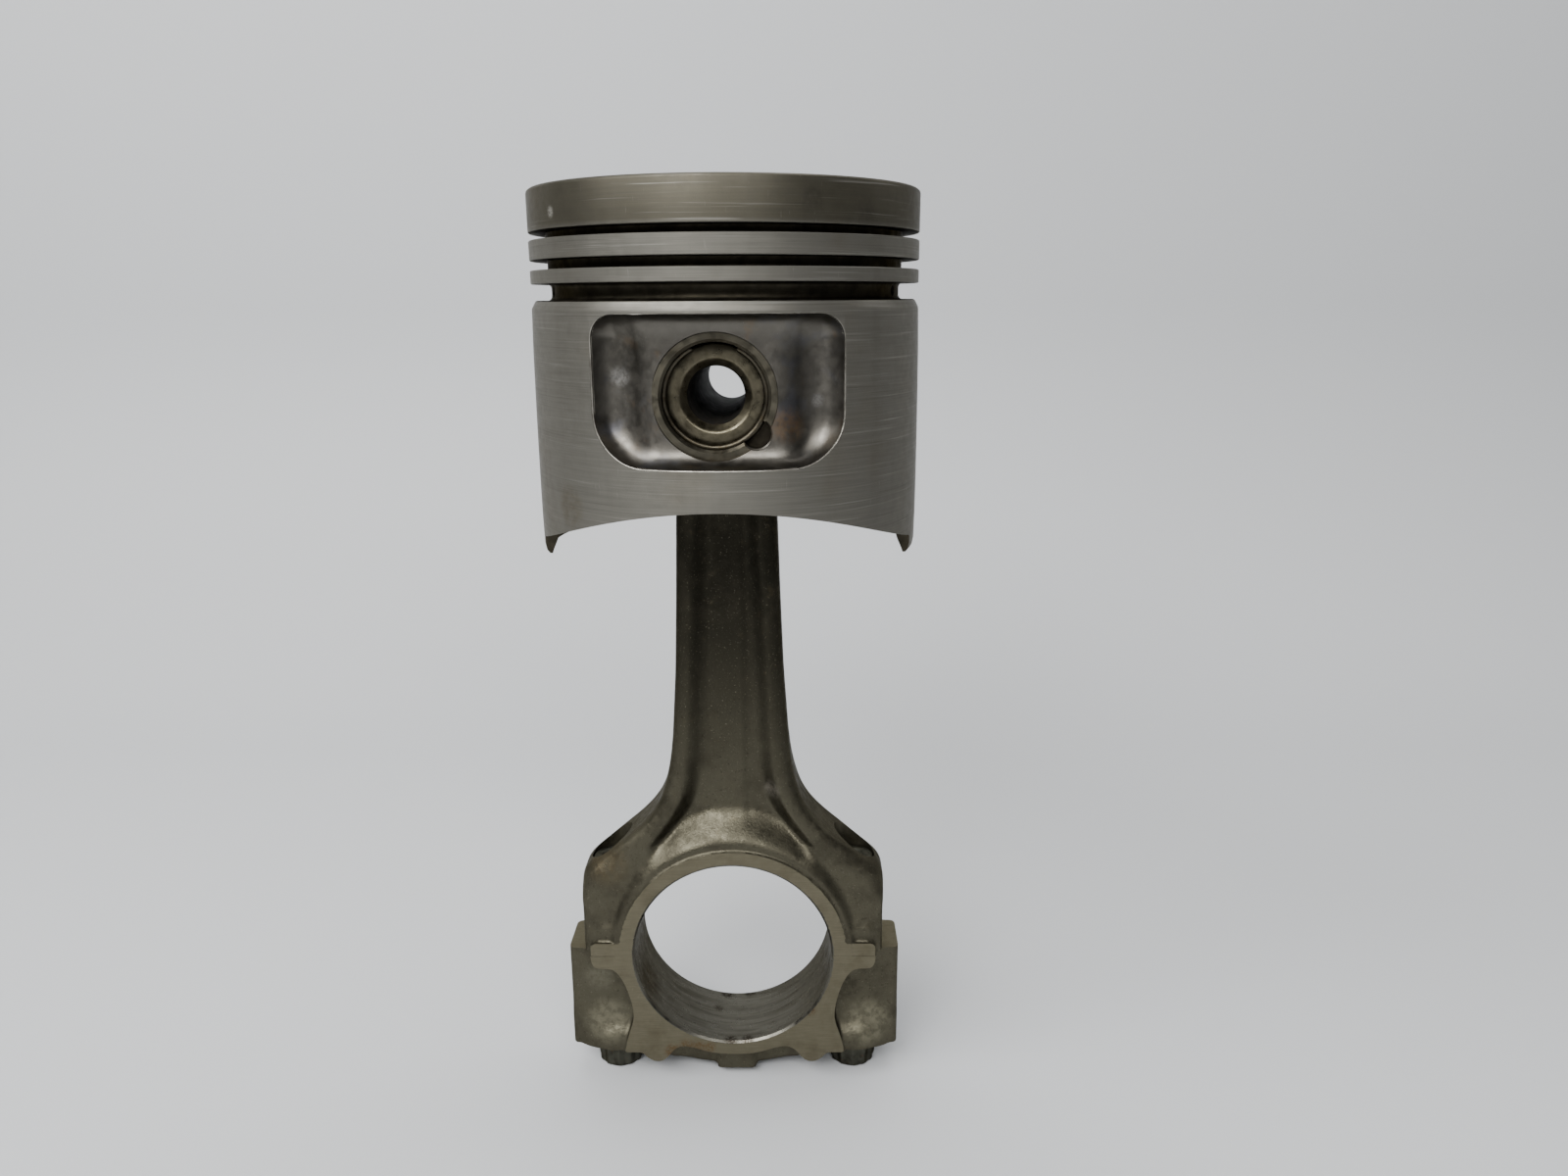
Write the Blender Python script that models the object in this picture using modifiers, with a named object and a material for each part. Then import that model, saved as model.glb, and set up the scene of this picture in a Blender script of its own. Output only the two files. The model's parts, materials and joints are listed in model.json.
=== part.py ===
"""Piston on its connecting rod, as it comes out of a four-stroke petrol engine.

The piston stands on top with its crown up and swings on a floating gudgeon pin,
which two round-wire circlips keep in place.  The forged rod runs down to a
split big end, whose cap is held by two bolts with twelve-point nuts.
Lengths are in metres, +Z is up and the crankshaft direction is Y.  The origin
lies on the piston's axis, level with the bottom faces of the nuts.
"""
import math
import bmesh
import bpy
from mathutils import Matrix, Vector

MM = 0.001

# layout of the whole assembly
PIN_OFFSET = 0.7 * MM            # gudgeon pin to piston centre line
CENTRE_DISTANCE = 147.0 * MM     # big-end centre to gudgeon pin
BIG_END_Z = 37.5 * MM
ROD_X = -PIN_OFFSET
PIN_Z = BIG_END_Z + CENTRE_DISTANCE
GAP = 0.3 * MM                   # clearance between touching pieces

# piston, heights measured from the gudgeon pin
CROWN_Z = 42.9 * MM
LAND_R = 44.5 * MM
SKIRT_R = 44.9 * MM
SKIRT_BOTTOM_Z = -38.0 * MM
SKIRT_FULL_Z = -15.0 * MM        # the skirt has its full radius from here down
SKIRT_TOP_STEP = 0.2 * MM
EDGE = 0.6 * MM
RING_GROOVES = (
    (33.85 * MM, 32.08 * MM, 40.5 * MM),
    (27.88 * MM, 25.74 * MM, 40.5 * MM),
    (22.86 * MM, 19.30 * MM, 39.9 * MM),
)                                # top, bottom and floor radius
CROWN_UNDERSIDE_Z = 34.6 * MM
CROWN_FILLET = ((29.0 * MM, CROWN_UNDERSIDE_Z), (33.6 * MM, 32.9 * MM))
BELT_INNER_R = 35.4 * MM
BELT_INNER_Z = (28.5 * MM, 18.0 * MM)
SKIRT_INNER_TOP = (40.6 * MM, 8.0 * MM)
SKIRT_INNER_R = 41.7 * MM
COUNTERWEIGHT_R = 88.0 * MM      # arched skirt bottom, front and rear
ARCH_TOP_Z = -23.0 * MM
TONGUE_HALF = 14.0 * MM
DRAIN_R = 1.2 * MM
DRAIN_START_R = 32.0 * MM
DRAIN_ANGLES = (-20.0, 0.0, 20.0)

# pockets sunk in the skirt round the pin bosses
POCKET_HALF = 26.15 * MM
POCKET_TOP_Z = 16.7 * MM
POCKET_BOTTOM_Z = -14.3 * MM
POCKET_TOP_CORNER = 5.0 * MM
POCKET_BOTTOM_CORNER = 11.0 * MM
POCKET_FLOOR_Y = 32.5 * MM
POCKET_FILLET = 3.0 * MM
PANEL = 3.5 * MM                 # wall left behind the pocket
PANEL_TOP_Z = 25.6 * MM
BOSS_FACE_Y = 37.8 * MM
BOSS_HALF = 14.5 * MM
SPOT_FACE_Y = 37.5 * MM
SPOT_FACE_R = 13.0 * MM
BOSS_INNER_Y = 14.0 * MM
BOSS_R = 16.5 * MM
STRUT_INNER_Y = 15.2 * MM        # strut from the boss up to the crown
STRUT_HALF = 12.0 * MM

# gudgeon pin and circlips
PIN_R = 10.8 * MM
PIN_HALF = 33.8 * MM
PIN_HOLE_R = 6.4 * MM
PIN_MOUTH_R = 7.5 * MM
PIN_THROAT_Y = 29.4 * MM
PIN_EDGE = 0.5 * MM
PIN_BORE_R = PIN_R + GAP
PIN_BORE_EDGE = 0.35 * MM
CLIP_Y = 35.1 * MM
CLIP_WIRE_R = 0.7 * MM
CLIP_R = 10.8 * MM
CLIP_OPENING = 50.0              # degrees left open at the top
CLIP_SEGMENTS = 30
CLIP_GROOVE_R = 11.9 * MM
NOTCH_R = 3.1 * MM
NOTCH_REACH = 11.4 * MM
NOTCH_ANGLE = -42.0
NOTCH_FLOOR_Y = 34.1 * MM

# connecting rod, heights measured from the big-end centre
BIG_BORE_R = 25.8 * MM
BIG_END_HALF = 11.0 * MM
BORE_CHAMFER = 0.5 * MM
THRUST_RING_R = 29.8 * MM
TAB_HALF = 37.2 * MM
TAB_HEIGHT = 3.7 * MM
TAB_CORNER = 1.5 * MM
SHANK_HALF = 7.0 * MM
SHANK_EDGE = 2.0 * MM
SHANK_ROOT = ((0.0, 20.0 * MM), (20.0 * MM, 24.0 * MM))
SHOULDER_HALF = 8.6 * MM
SHOULDER_EDGE = 1.2 * MM
SHOULDER_X = 40.4 * MM
SHOULDER_Z = 20.6 * MM
SHOULDER_TOP = ((26.0 * MM, 34.8 * MM), (18.0 * MM, 38.0 * MM), (0.0, 38.0 * MM))
FLARE_START = (25.2 * MM, 35.5 * MM)
FLARE_R = 37.0 * MM
SHANK_LOW = (14.4 * MM, 61.6 * MM)
SHANK_TOP = (11.8 * MM, 132.0 * MM)
EYE_R = 17.0 * MM
EYE_HALF = 13.0 * MM
BUSH_R = 12.6 * MM
CHANNEL_FLOOR_Y = 3.2 * MM
CHANNEL_RIM = 4.6 * MM
CHANNEL_BOTTOM_Z = 41.0 * MM
CHANNEL_TOP_Z = 124.0 * MM
CHANNEL_FILLET = 2.4 * MM
CHANNEL_FOOT = (
    (8.0 * MM, CHANNEL_BOTTOM_Z), (16.0 * MM, 39.0 * MM), (14.0 * MM, 46.0 * MM),
    (11.0 * MM, 53.0 * MM),
)                                # spreads out where the shank meets the shoulders
BLANK_LOW_Z = -10.0 * MM         # big-end blanks reach past the parting face

# big-end cap
CAP_HALF_X = 43.7 * MM
SEAT_Z = -29.0 * MM
CAP_BODY_HALF = 8.0 * MM
CAP_EDGE = 1.0 * MM
CAP_TOP_Z = 8.0 * MM
CAP_BELLY = ((0.0, -33.4 * MM), (16.0 * MM, -33.0 * MM), (21.5 * MM, -31.6 * MM),
             (24.5 * MM, SEAT_Z))
PAD_HALF_X = 5.3 * MM
PAD_HALF_Y = 9.0 * MM
PAD_Z = -35.3 * MM
PAD_TOP_Z = -28.0 * MM
COLLAR_NECK = (7.8 * MM, -20.0 * MM)
COLLAR_R = 10.2 * MM
COLLAR_FULL_Z = -25.5 * MM

# bolts and nuts
BOLT_X = 32.0 * MM
BOLT_R = 4.4 * MM
HEAD_SEAT_Z = 19.0 * MM
HEAD_R = 6.0 * MM
HEAD_HEIGHT = 4.6 * MM
HEAD_FLAT = 4.8 * MM             # bolt axis to the flat on the head
HEAD_POCKET_R = 6.5 * MM
BOLT_EDGE = 0.6 * MM
BOLT_END_Z = -37.0 * MM
NUT_R = 6.3 * MM
NUT_ROOT_R = 5.75 * MM
NUT_POINTS = 12
NUT_CHAMFER = 0.7 * MM

TURN_STEPS = 72
BORE_STEPS = 40
SMALL_STEPS = 24
DRAIN_STEPS = 16
FAR = 60.0 * MM                  # cutters run this far past the faces they cut

COLOURS = {
    "aluminium": (0.36, 0.35, 0.33, 1.0),
    "forged steel": (0.10, 0.09, 0.08, 1.0),
    "black steel": (0.05, 0.05, 0.045, 1.0),
    "ground steel": (0.45, 0.45, 0.44, 1.0),
    "spring steel": (0.30, 0.28, 0.24, 1.0),
    "bronze": (0.55, 0.36, 0.16, 1.0),
}


def clear_scene():
    for old in list(bpy.data.objects):
        bpy.data.objects.remove(old, do_unlink=True)


def new_collection(name, hidden):
    collection = bpy.data.collections.new(name)
    bpy.context.scene.collection.children.link(collection)
    collection.hide_render = hidden
    return collection


def add_object(name, data, collection):
    thing = bpy.data.objects.new(name, data)
    collection.objects.link(thing)
    if collection is CUTTERS:
        thing.display_type = 'WIRE'
        thing.hide_render = True
    return thing


def turned(name, profile, collection, steps=TURN_STEPS, along_y=False, closed=False):
    """Turn a (radius, height) profile about Z, or about Y when along_y is set."""
    mesh = bpy.data.meshes.new(name)
    count = len(profile)
    edges = [(i, i + 1) for i in range(count - 1)]
    if closed:
        edges.append((count - 1, 0))
    mesh.from_pydata([(r, 0.0, z) for r, z in profile], edges, [])
    thing = add_object(name, mesh, collection)
    screw = thing.modifiers.new("turn", 'SCREW')
    screw.axis = 'Z'
    screw.steps = steps
    screw.render_steps = steps
    screw.use_merge_vertices = True
    screw.merge_threshold = 0.00001
    screw.use_smooth_shade = True
    fixed = baked_mesh(thing)
    if along_y:
        fixed.transform(Matrix.Rotation(math.radians(90.0), 4, 'X'))
    thing.modifiers.clear()
    thing.data = fixed
    return thing


def baked_mesh(thing):
    """Return the finished mesh of an object, doubled edges closed and flat faces whole."""
    bpy.context.view_layer.update()
    graph = bpy.context.evaluated_depsgraph_get()
    mesh = bpy.data.meshes.new_from_object(thing.evaluated_get(graph))
    work = bmesh.new()
    work.from_mesh(mesh)
    bmesh.ops.remove_doubles(work, verts=work.verts, dist=0.000002)
    bmesh.ops.recalc_face_normals(work, faces=work.faces)
    bmesh.ops.dissolve_limit(work, angle_limit=math.radians(0.05), verts=work.verts,
                             edges=work.edges)
    work.to_mesh(mesh)
    work.free()
    return mesh


def extruded(name, outline, half, collection, rounding=0.0, along_y=True):
    """Extrude a closed (x, z) outline both ways along Y, with rounded edges."""
    curve = bpy.data.curves.new(name, 'CURVE')
    curve.dimensions = '2D'
    curve.fill_mode = 'BOTH'
    curve.extrude = half - rounding
    curve.bevel_depth = rounding
    curve.bevel_resolution = 2
    curve.offset = -rounding
    spline = curve.splines.new('POLY')
    spline.points.add(len(outline) - 1)
    for point, (x, z) in zip(spline.points, outline):
        point.co = (x, z, 0.0, 1.0)
    spline.use_cyclic_u = True
    source = add_object(name + "_outline", curve, collection)
    mesh = baked_mesh(source)
    bpy.data.objects.remove(source, do_unlink=True)
    bpy.data.curves.remove(curve)
    if along_y:
        mesh.transform(Matrix.Rotation(math.radians(90.0), 4, 'X'))
    return add_object(name, mesh, collection)


def box(name, low, high, collection):
    outline = [(low[0], low[2]), (high[0], low[2]), (high[0], high[2]), (low[0], high[2])]
    half = (high[1] - low[1]) / 2.0
    thing = extruded(name, outline, half, collection)
    thing.data.transform(Matrix.Translation((0.0, (low[1] + high[1]) / 2.0, 0.0)))
    return thing


def rod_of(name, radius, start, end, collection, steps=BORE_STEPS, along_y=False):
    """A plain round bar about Z, or about -Y when along_y is set."""
    work = bmesh.new()
    bmesh.ops.create_cone(work, cap_ends=True, cap_tris=False, segments=steps,
                          radius1=radius, radius2=radius, depth=end - start)
    mesh = bpy.data.meshes.new(name)
    work.to_mesh(mesh)
    work.free()
    mesh.transform(Matrix.Translation((0.0, 0.0, (start + end) / 2.0)))
    if along_y:
        mesh.transform(Matrix.Rotation(math.radians(90.0), 4, 'X'))
    mesh.shade_smooth()
    return add_object(name, mesh, collection)


def shift(thing, x=0.0, y=0.0, z=0.0):
    """Move the geometry of an object and leave its origin where it is."""
    thing.data.transform(Matrix.Translation((x, y, z)))
    return thing


def combine(target, other, operation):
    step = target.modifiers.new(operation.lower(), 'BOOLEAN')
    step.operation = operation
    step.solver = 'EXACT'
    step.object = other


def cut(target, *cutters):
    for cutter in cutters:
        combine(target, cutter, 'DIFFERENCE')


def join(target, *additions):
    for addition in additions:
        combine(target, addition, 'UNION')


def paint(thing, colour, roughness, metallic=1.0):
    material = bpy.data.materials.new(thing.name)
    material.use_nodes = True
    shader = material.node_tree.nodes["Principled BSDF"]
    shader.inputs["Base Color"].default_value = COLOURS[colour]
    shader.inputs["Roughness"].default_value = roughness
    shader.inputs["Metallic"].default_value = metallic
    material.diffuse_color = COLOURS[colour]
    thing.data.materials.clear()
    thing.data.materials.append(material)


def place(thing, pivot):
    """Put the origin on a pivot without moving the geometry."""
    thing.data.transform(Matrix.Translation(-Vector(pivot) + thing.location))
    thing.location = Vector(pivot)


def arc(centre, radius, start, end, count):
    """Points along an arc; the angles are in degrees."""
    points = []
    for i in range(count + 1):
        angle = math.radians(start + (end - start) * i / count)
        x = centre[0] + radius * math.cos(angle)
        points.append((x, centre[1] + radius * math.sin(angle)))
    return points


def mirrored(half_outline):
    """Close an outline given for +X only, from one end on the centre line to the other."""
    left = [(-x, z) for x, z in reversed(half_outline) if x > 0.01 * MM]
    return half_outline + left


def moved(outline, x, z):
    return [(px + x, pz + z) for px, pz in outline]


def pocket_outline():
    top = POCKET_TOP_CORNER
    low = POCKET_BOTTOM_CORNER
    half = arc((POCKET_HALF - low, POCKET_BOTTOM_Z + low), low, -90.0, 0.0, 8)
    half += arc((POCKET_HALF - top, POCKET_TOP_Z - top), top, 0.0, 90.0, 5)
    return mirrored(half)


def piston_hollow():
    """The space inside the piston, with the pin bosses and pocket walls left out."""
    profile = [
        (0.0, CROWN_UNDERSIDE_Z),
        *CROWN_FILLET,
        (BELT_INNER_R, BELT_INNER_Z[0]),
        (BELT_INNER_R, BELT_INNER_Z[1]),
        SKIRT_INNER_TOP,
        (SKIRT_INNER_R, -FAR),
        (0.0, -FAR),
    ]
    hollow = turned("hollow_cutter", profile, CUTTERS)
    hollow.location = Vector((0.0, 0.0, PIN_Z))
    panel_half = POCKET_HALF + PANEL
    for side, label in ((-1.0, "front"), (1.0, "rear")):
        near = side * (POCKET_FLOOR_Y - PANEL)
        far = side * FAR
        low = (-panel_half, min(near, far), PIN_Z + POCKET_BOTTOM_Z - PANEL)
        high = (panel_half, max(near, far), PIN_Z + PANEL_TOP_Z)
        panel = box("panel_" + label, low, high, CUTTERS)
        near = side * STRUT_INNER_Y
        low = (ROD_X - STRUT_HALF, min(near, far), PIN_Z)
        high = (ROD_X + STRUT_HALF, max(near, far), PIN_Z + CROWN_Z)
        strut = box("strut_" + label, low, high, CUTTERS)
        boss = rod_of("boss_" + label, BOSS_R, BOSS_INNER_Y, FAR, CUTTERS, BORE_STEPS, True)
        if side > 0.0:
            boss.data.transform(Matrix.Rotation(math.pi, 4, 'Z'))
        shift(boss, ROD_X, 0.0, PIN_Z)
        cut(hollow, panel, strut, boss)
    return hollow


def pocket_cutter(side, label):
    outline = moved(pocket_outline(), 0.0, PIN_Z)
    depth = FAR - POCKET_FLOOR_Y
    pocket = extruded("pocket_" + label, outline, depth / 2.0, CUTTERS, POCKET_FILLET)
    shift(pocket, 0.0, side * (POCKET_FLOOR_Y + FAR) / 2.0, 0.0)
    low = (ROD_X - BOSS_HALF, -BOSS_FACE_Y, PIN_Z - FAR)
    high = (ROD_X + BOSS_HALF, BOSS_FACE_Y, PIN_Z + FAR)
    island = box("island_" + label, low, high, CUTTERS)
    cut(pocket, island)
    return pocket


def pin_bore_cutter():
    """The bore for the gudgeon pin with its circlip grooves and spot faces."""
    half = [
        (PIN_BORE_R, CLIP_Y - CLIP_WIRE_R - GAP),
        (CLIP_GROOVE_R, CLIP_Y - CLIP_WIRE_R - GAP),
        (CLIP_GROOVE_R, CLIP_Y + CLIP_WIRE_R + GAP),
        (PIN_BORE_R, CLIP_Y + CLIP_WIRE_R + GAP),
        (PIN_BORE_R, SPOT_FACE_Y - PIN_BORE_EDGE),
        (PIN_BORE_R + PIN_BORE_EDGE, SPOT_FACE_Y),
        (SPOT_FACE_R, SPOT_FACE_Y),
        (SPOT_FACE_R, FAR),
        (0.0, FAR),
    ]
    profile = [(r, y) for r, y in reversed(half)]
    profile += [(r, -y) for r, y in half]
    bore = turned("pin_bore_cutter", profile, CUTTERS, BORE_STEPS, True)
    return shift(bore, ROD_X, 0.0, PIN_Z)


def notch_cutter(side, label):
    """Half-round notch beside the bore, for levering the circlip out."""
    notch = rod_of("notch_" + label, NOTCH_R, NOTCH_FLOOR_Y, FAR, CUTTERS, SMALL_STEPS, True)
    if side > 0.0:
        notch.data.transform(Matrix.Rotation(math.pi, 4, 'Z'))
    angle = math.radians(NOTCH_ANGLE)
    x = ROD_X + NOTCH_REACH * math.cos(angle)
    return shift(notch, x, 0.0, PIN_Z + NOTCH_REACH * math.sin(angle))


def arch_cutter(side, label):
    """Room for a crank counterweight under the front or rear of the skirt."""
    steps = 2 * TURN_STEPS
    arch = rod_of("arch_" + label, COUNTERWEIGHT_R, TONGUE_HALF, FAR, CUTTERS, steps, True)
    if side > 0.0:
        arch.data.transform(Matrix.Rotation(math.pi, 4, 'Z'))
    return shift(arch, 0.0, 0.0, PIN_Z + ARCH_TOP_Z - COUNTERWEIGHT_R)


def drain_cutter(angle, label):
    """Oil return hole through the wall behind the bottom ring groove."""
    top, bottom, floor = RING_GROOVES[-1]
    end = floor + DRAIN_R
    drain = rod_of("drain_" + label, DRAIN_R, DRAIN_START_R, end, CUTTERS, DRAIN_STEPS)
    drain.data.transform(Matrix.Rotation(math.radians(90.0), 4, 'Y'))
    drain.data.transform(Matrix.Rotation(math.radians(angle), 4, 'Z'))
    return shift(drain, 0.0, 0.0, PIN_Z + (top + bottom) / 2.0)


def build_piston():
    profile = [(0.0, CROWN_Z), (LAND_R - EDGE, CROWN_Z), (LAND_R, CROWN_Z - EDGE)]
    for top, bottom, floor in RING_GROOVES:
        profile += [(LAND_R, top), (floor, top), (floor, bottom), (LAND_R, bottom)]
    profile += [
        (LAND_R + SKIRT_TOP_STEP, RING_GROOVES[-1][1] - EDGE),
        (SKIRT_R, SKIRT_FULL_Z),
        (SKIRT_R, SKIRT_BOTTOM_Z),
        (0.0, SKIRT_BOTTOM_Z),
    ]
    piston = turned("piston", profile, PARTS)
    shift(piston, 0.0, 0.0, PIN_Z)
    cut(piston, piston_hollow())
    for side, label in ((-1.0, "front"), (1.0, "rear")):
        cut(piston, pocket_cutter(side, label))
    cut(piston, pin_bore_cutter())
    for side, label in ((-1.0, "front"), (1.0, "rear")):
        cut(piston, notch_cutter(side, label), arch_cutter(side, label))
    for facing in (0.0, 180.0):
        for angle in DRAIN_ANGLES:
            cut(piston, drain_cutter(facing + angle, "%d" % (facing + angle)))
    place(piston, (ROD_X, 0.0, PIN_Z))
    paint(piston, "aluminium", 0.38)


def build_gudgeon_pin():
    profile = [
        (PIN_MOUTH_R, PIN_HALF),
        (PIN_R - PIN_EDGE, PIN_HALF),
        (PIN_R, PIN_HALF - PIN_EDGE),
        (PIN_R, PIN_EDGE - PIN_HALF),
        (PIN_R - PIN_EDGE, -PIN_HALF),
        (PIN_MOUTH_R, -PIN_HALF),
        (PIN_HOLE_R, -PIN_THROAT_Y),
        (PIN_HOLE_R, PIN_THROAT_Y),
    ]
    pin = turned("gudgeon_pin", profile, PARTS, BORE_STEPS, True, True)
    shift(pin, ROD_X, 0.0, PIN_Z)
    place(pin, (ROD_X, 0.0, PIN_Z))
    paint(pin, "ground steel", 0.3)


def build_circlip(side, label):
    """Round-wire ring, open at the top, sitting in the groove of one pin boss."""
    name = "circlip_" + label
    curve = bpy.data.curves.new(name, 'CURVE')
    curve.dimensions = '3D'
    curve.bevel_depth = CLIP_WIRE_R
    curve.bevel_resolution = 2
    curve.use_fill_caps = True
    start = 90.0 + CLIP_OPENING / 2.0
    end = start + 360.0 - CLIP_OPENING
    points = arc((ROD_X, PIN_Z), CLIP_R, start, end, CLIP_SEGMENTS)
    spline = curve.splines.new('POLY')
    spline.points.add(len(points) - 1)
    for point, (x, z) in zip(spline.points, points):
        point.co = (x, side * CLIP_Y, z, 1.0)
    source = add_object(name + "_wire", curve, PARTS)
    mesh = baked_mesh(source)
    bpy.data.objects.remove(source, do_unlink=True)
    bpy.data.curves.remove(curve)
    clip = add_object(name, mesh, PARTS)
    place(clip, (ROD_X, side * CLIP_Y, PIN_Z))
    paint(clip, "spring steel", 0.35)


def build_bush():
    profile = [(PIN_BORE_R, EYE_HALF), (BUSH_R, EYE_HALF), (BUSH_R, -EYE_HALF),
               (PIN_BORE_R, -EYE_HALF)]
    bush = turned("small_end_bush", profile, PARTS, BORE_STEPS, True, True)
    shift(bush, ROD_X, 0.0, PIN_Z)
    paint(bush, "bronze", 0.35)


def big_bore_cutter(label):
    """Crankpin bore with a small chamfer at each face."""
    half = [
        (BIG_BORE_R, BIG_END_HALF - BORE_CHAMFER),
        (BIG_BORE_R + BORE_CHAMFER, BIG_END_HALF),
        (BIG_BORE_R + BORE_CHAMFER, FAR),
        (0.0, FAR),
    ]
    profile = [(r, y) for r, y in reversed(half)]
    profile += [(r, -y) for r, y in half]
    bore = turned("big_bore_" + label, profile, CUTTERS, TURN_STEPS, True)
    return shift(bore, ROD_X, 0.0, BIG_END_Z)


def bolt_hole_cutter(side, label):
    hole = rod_of("bolt_hole_" + label, BOLT_R + GAP, -FAR, FAR, CUTTERS, SMALL_STEPS)
    hole.location = Vector((ROD_X + side * BOLT_X, 0.0, BIG_END_Z))
    return hole


def shank_outline():
    """Outline of the shank, flaring out at its foot and ending inside the small-end eye."""
    centre = (FLARE_START[0] + FLARE_R * math.sin(math.radians(45.0)),
              FLARE_START[1] + FLARE_R * math.cos(math.radians(45.0)))
    half = list(SHANK_ROOT)
    half += arc(centre, FLARE_R, 225.0, 182.5, 8)
    half += [SHANK_LOW, SHANK_TOP, (0.0, SHANK_TOP[1])]
    return moved(mirrored(half), ROD_X, BIG_END_Z)


def shoulder_outline():
    """Outline of the block round the upper half of the big end."""
    half = [(0.0, BLANK_LOW_Z), (SHOULDER_X, BLANK_LOW_Z), (SHOULDER_X, SHOULDER_Z)]
    return moved(mirrored(half + list(SHOULDER_TOP)), ROD_X, BIG_END_Z)


def rod_face_outline():
    """Outline of the ground thrust ring on the rod, with its two tabs at the parting."""
    start = math.degrees(math.asin(TAB_HEIGHT / THRUST_RING_R))
    half = [(0.0, BLANK_LOW_Z), (TAB_HALF, BLANK_LOW_Z), (TAB_HALF, TAB_HEIGHT - TAB_CORNER),
            (TAB_HALF - TAB_CORNER, TAB_HEIGHT)]
    half += arc((0.0, 0.0), THRUST_RING_R, start, 90.0, 20)
    return moved(mirrored(half), ROD_X, BIG_END_Z)


def channel_outline():
    """Outline of the long hollow between the two flanges of the shank."""
    low = SHANK_LOW[0] - CHANNEL_RIM
    top = SHANK_TOP[0] - CHANNEL_RIM
    corner = 4.0 * MM
    half = [(low, SHANK_LOW[1]), (top, CHANNEL_TOP_Z - corner), (top - corner, CHANNEL_TOP_Z)]
    return moved(mirrored(list(CHANNEL_FOOT) + half), ROD_X, BIG_END_Z)


def channel_cutter(side, label):
    depth = FAR - CHANNEL_FLOOR_Y
    channel = extruded("channel_" + label, channel_outline(), depth / 2.0, CUTTERS, CHANNEL_FILLET)
    return shift(channel, 0.0, side * (CHANNEL_FLOOR_Y + FAR) / 2.0, 0.0)


def build_con_rod():
    rod = extruded("con_rod", shank_outline(), SHANK_HALF, PARTS, SHANK_EDGE)
    block = extruded("shoulder_block", shoulder_outline(), SHOULDER_HALF, CUTTERS, SHOULDER_EDGE)
    face = extruded("rod_thrust_face", rod_face_outline(), BIG_END_HALF, CUTTERS)
    eye = rod_of("small_end_eye", EYE_R, -EYE_HALF, EYE_HALF, CUTTERS, TURN_STEPS, True)
    shift(eye, ROD_X, 0.0, PIN_Z)
    for side, label in ((-1.0, "front"), (1.0, "rear")):
        cut(rod, channel_cutter(side, label))
    join(rod, block, face, eye)
    low = (-FAR, -FAR, BIG_END_Z - FAR)
    high = (FAR, FAR, BIG_END_Z + GAP / 2.0)
    below = box("rod_parting_cutter", low, high, CUTTERS)
    eye_bore = rod_of("eye_bore", BUSH_R + GAP, -FAR, FAR, CUTTERS, BORE_STEPS, True)
    shift(eye_bore, ROD_X, 0.0, PIN_Z)
    cut(rod, below, big_bore_cutter("rod"), eye_bore)
    for side, label in ((-1.0, "left"), (1.0, "right")):
        pocket = rod_of("head_pocket_" + label, HEAD_POCKET_R, HEAD_SEAT_Z, FAR, CUTTERS,
                        SMALL_STEPS)
        pocket.location = Vector((ROD_X + side * BOLT_X, 0.0, BIG_END_Z))
        cut(rod, pocket, bolt_hole_cutter(side, "rod_" + label))
    paint(rod, "forged steel", 0.55)


def cap_face_outline():
    """Ground thrust face of the cap: tabs, ring and the two lobes under the bore."""
    half = [
        (TAB_HALF, 0.0),
        (TAB_HALF, -2.4 * MM),
        (36.0 * MM, -TAB_HEIGHT),
        (31.5 * MM, -4.0 * MM),
        (29.3 * MM, -7.0 * MM),
        (27.4 * MM, -12.5 * MM),
        (26.7 * MM, -18.3 * MM),
        (28.3 * MM, -24.1 * MM),
        (29.1 * MM, -28.2 * MM),
        (28.6 * MM, SEAT_Z),
        (25.0 * MM, -29.3 * MM),
        (23.6 * MM, -31.4 * MM),
        (21.7 * MM, -32.1 * MM),
        (19.7 * MM, -31.4 * MM),
        (18.0 * MM, -29.2 * MM),
        (15.8 * MM, -28.1 * MM),
    ]
    half += arc((0.0, 0.0), 29.6 * MM, -65.0, -90.0, 4)
    return moved(mirrored(list(reversed(half))), ROD_X, BIG_END_Z)


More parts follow.
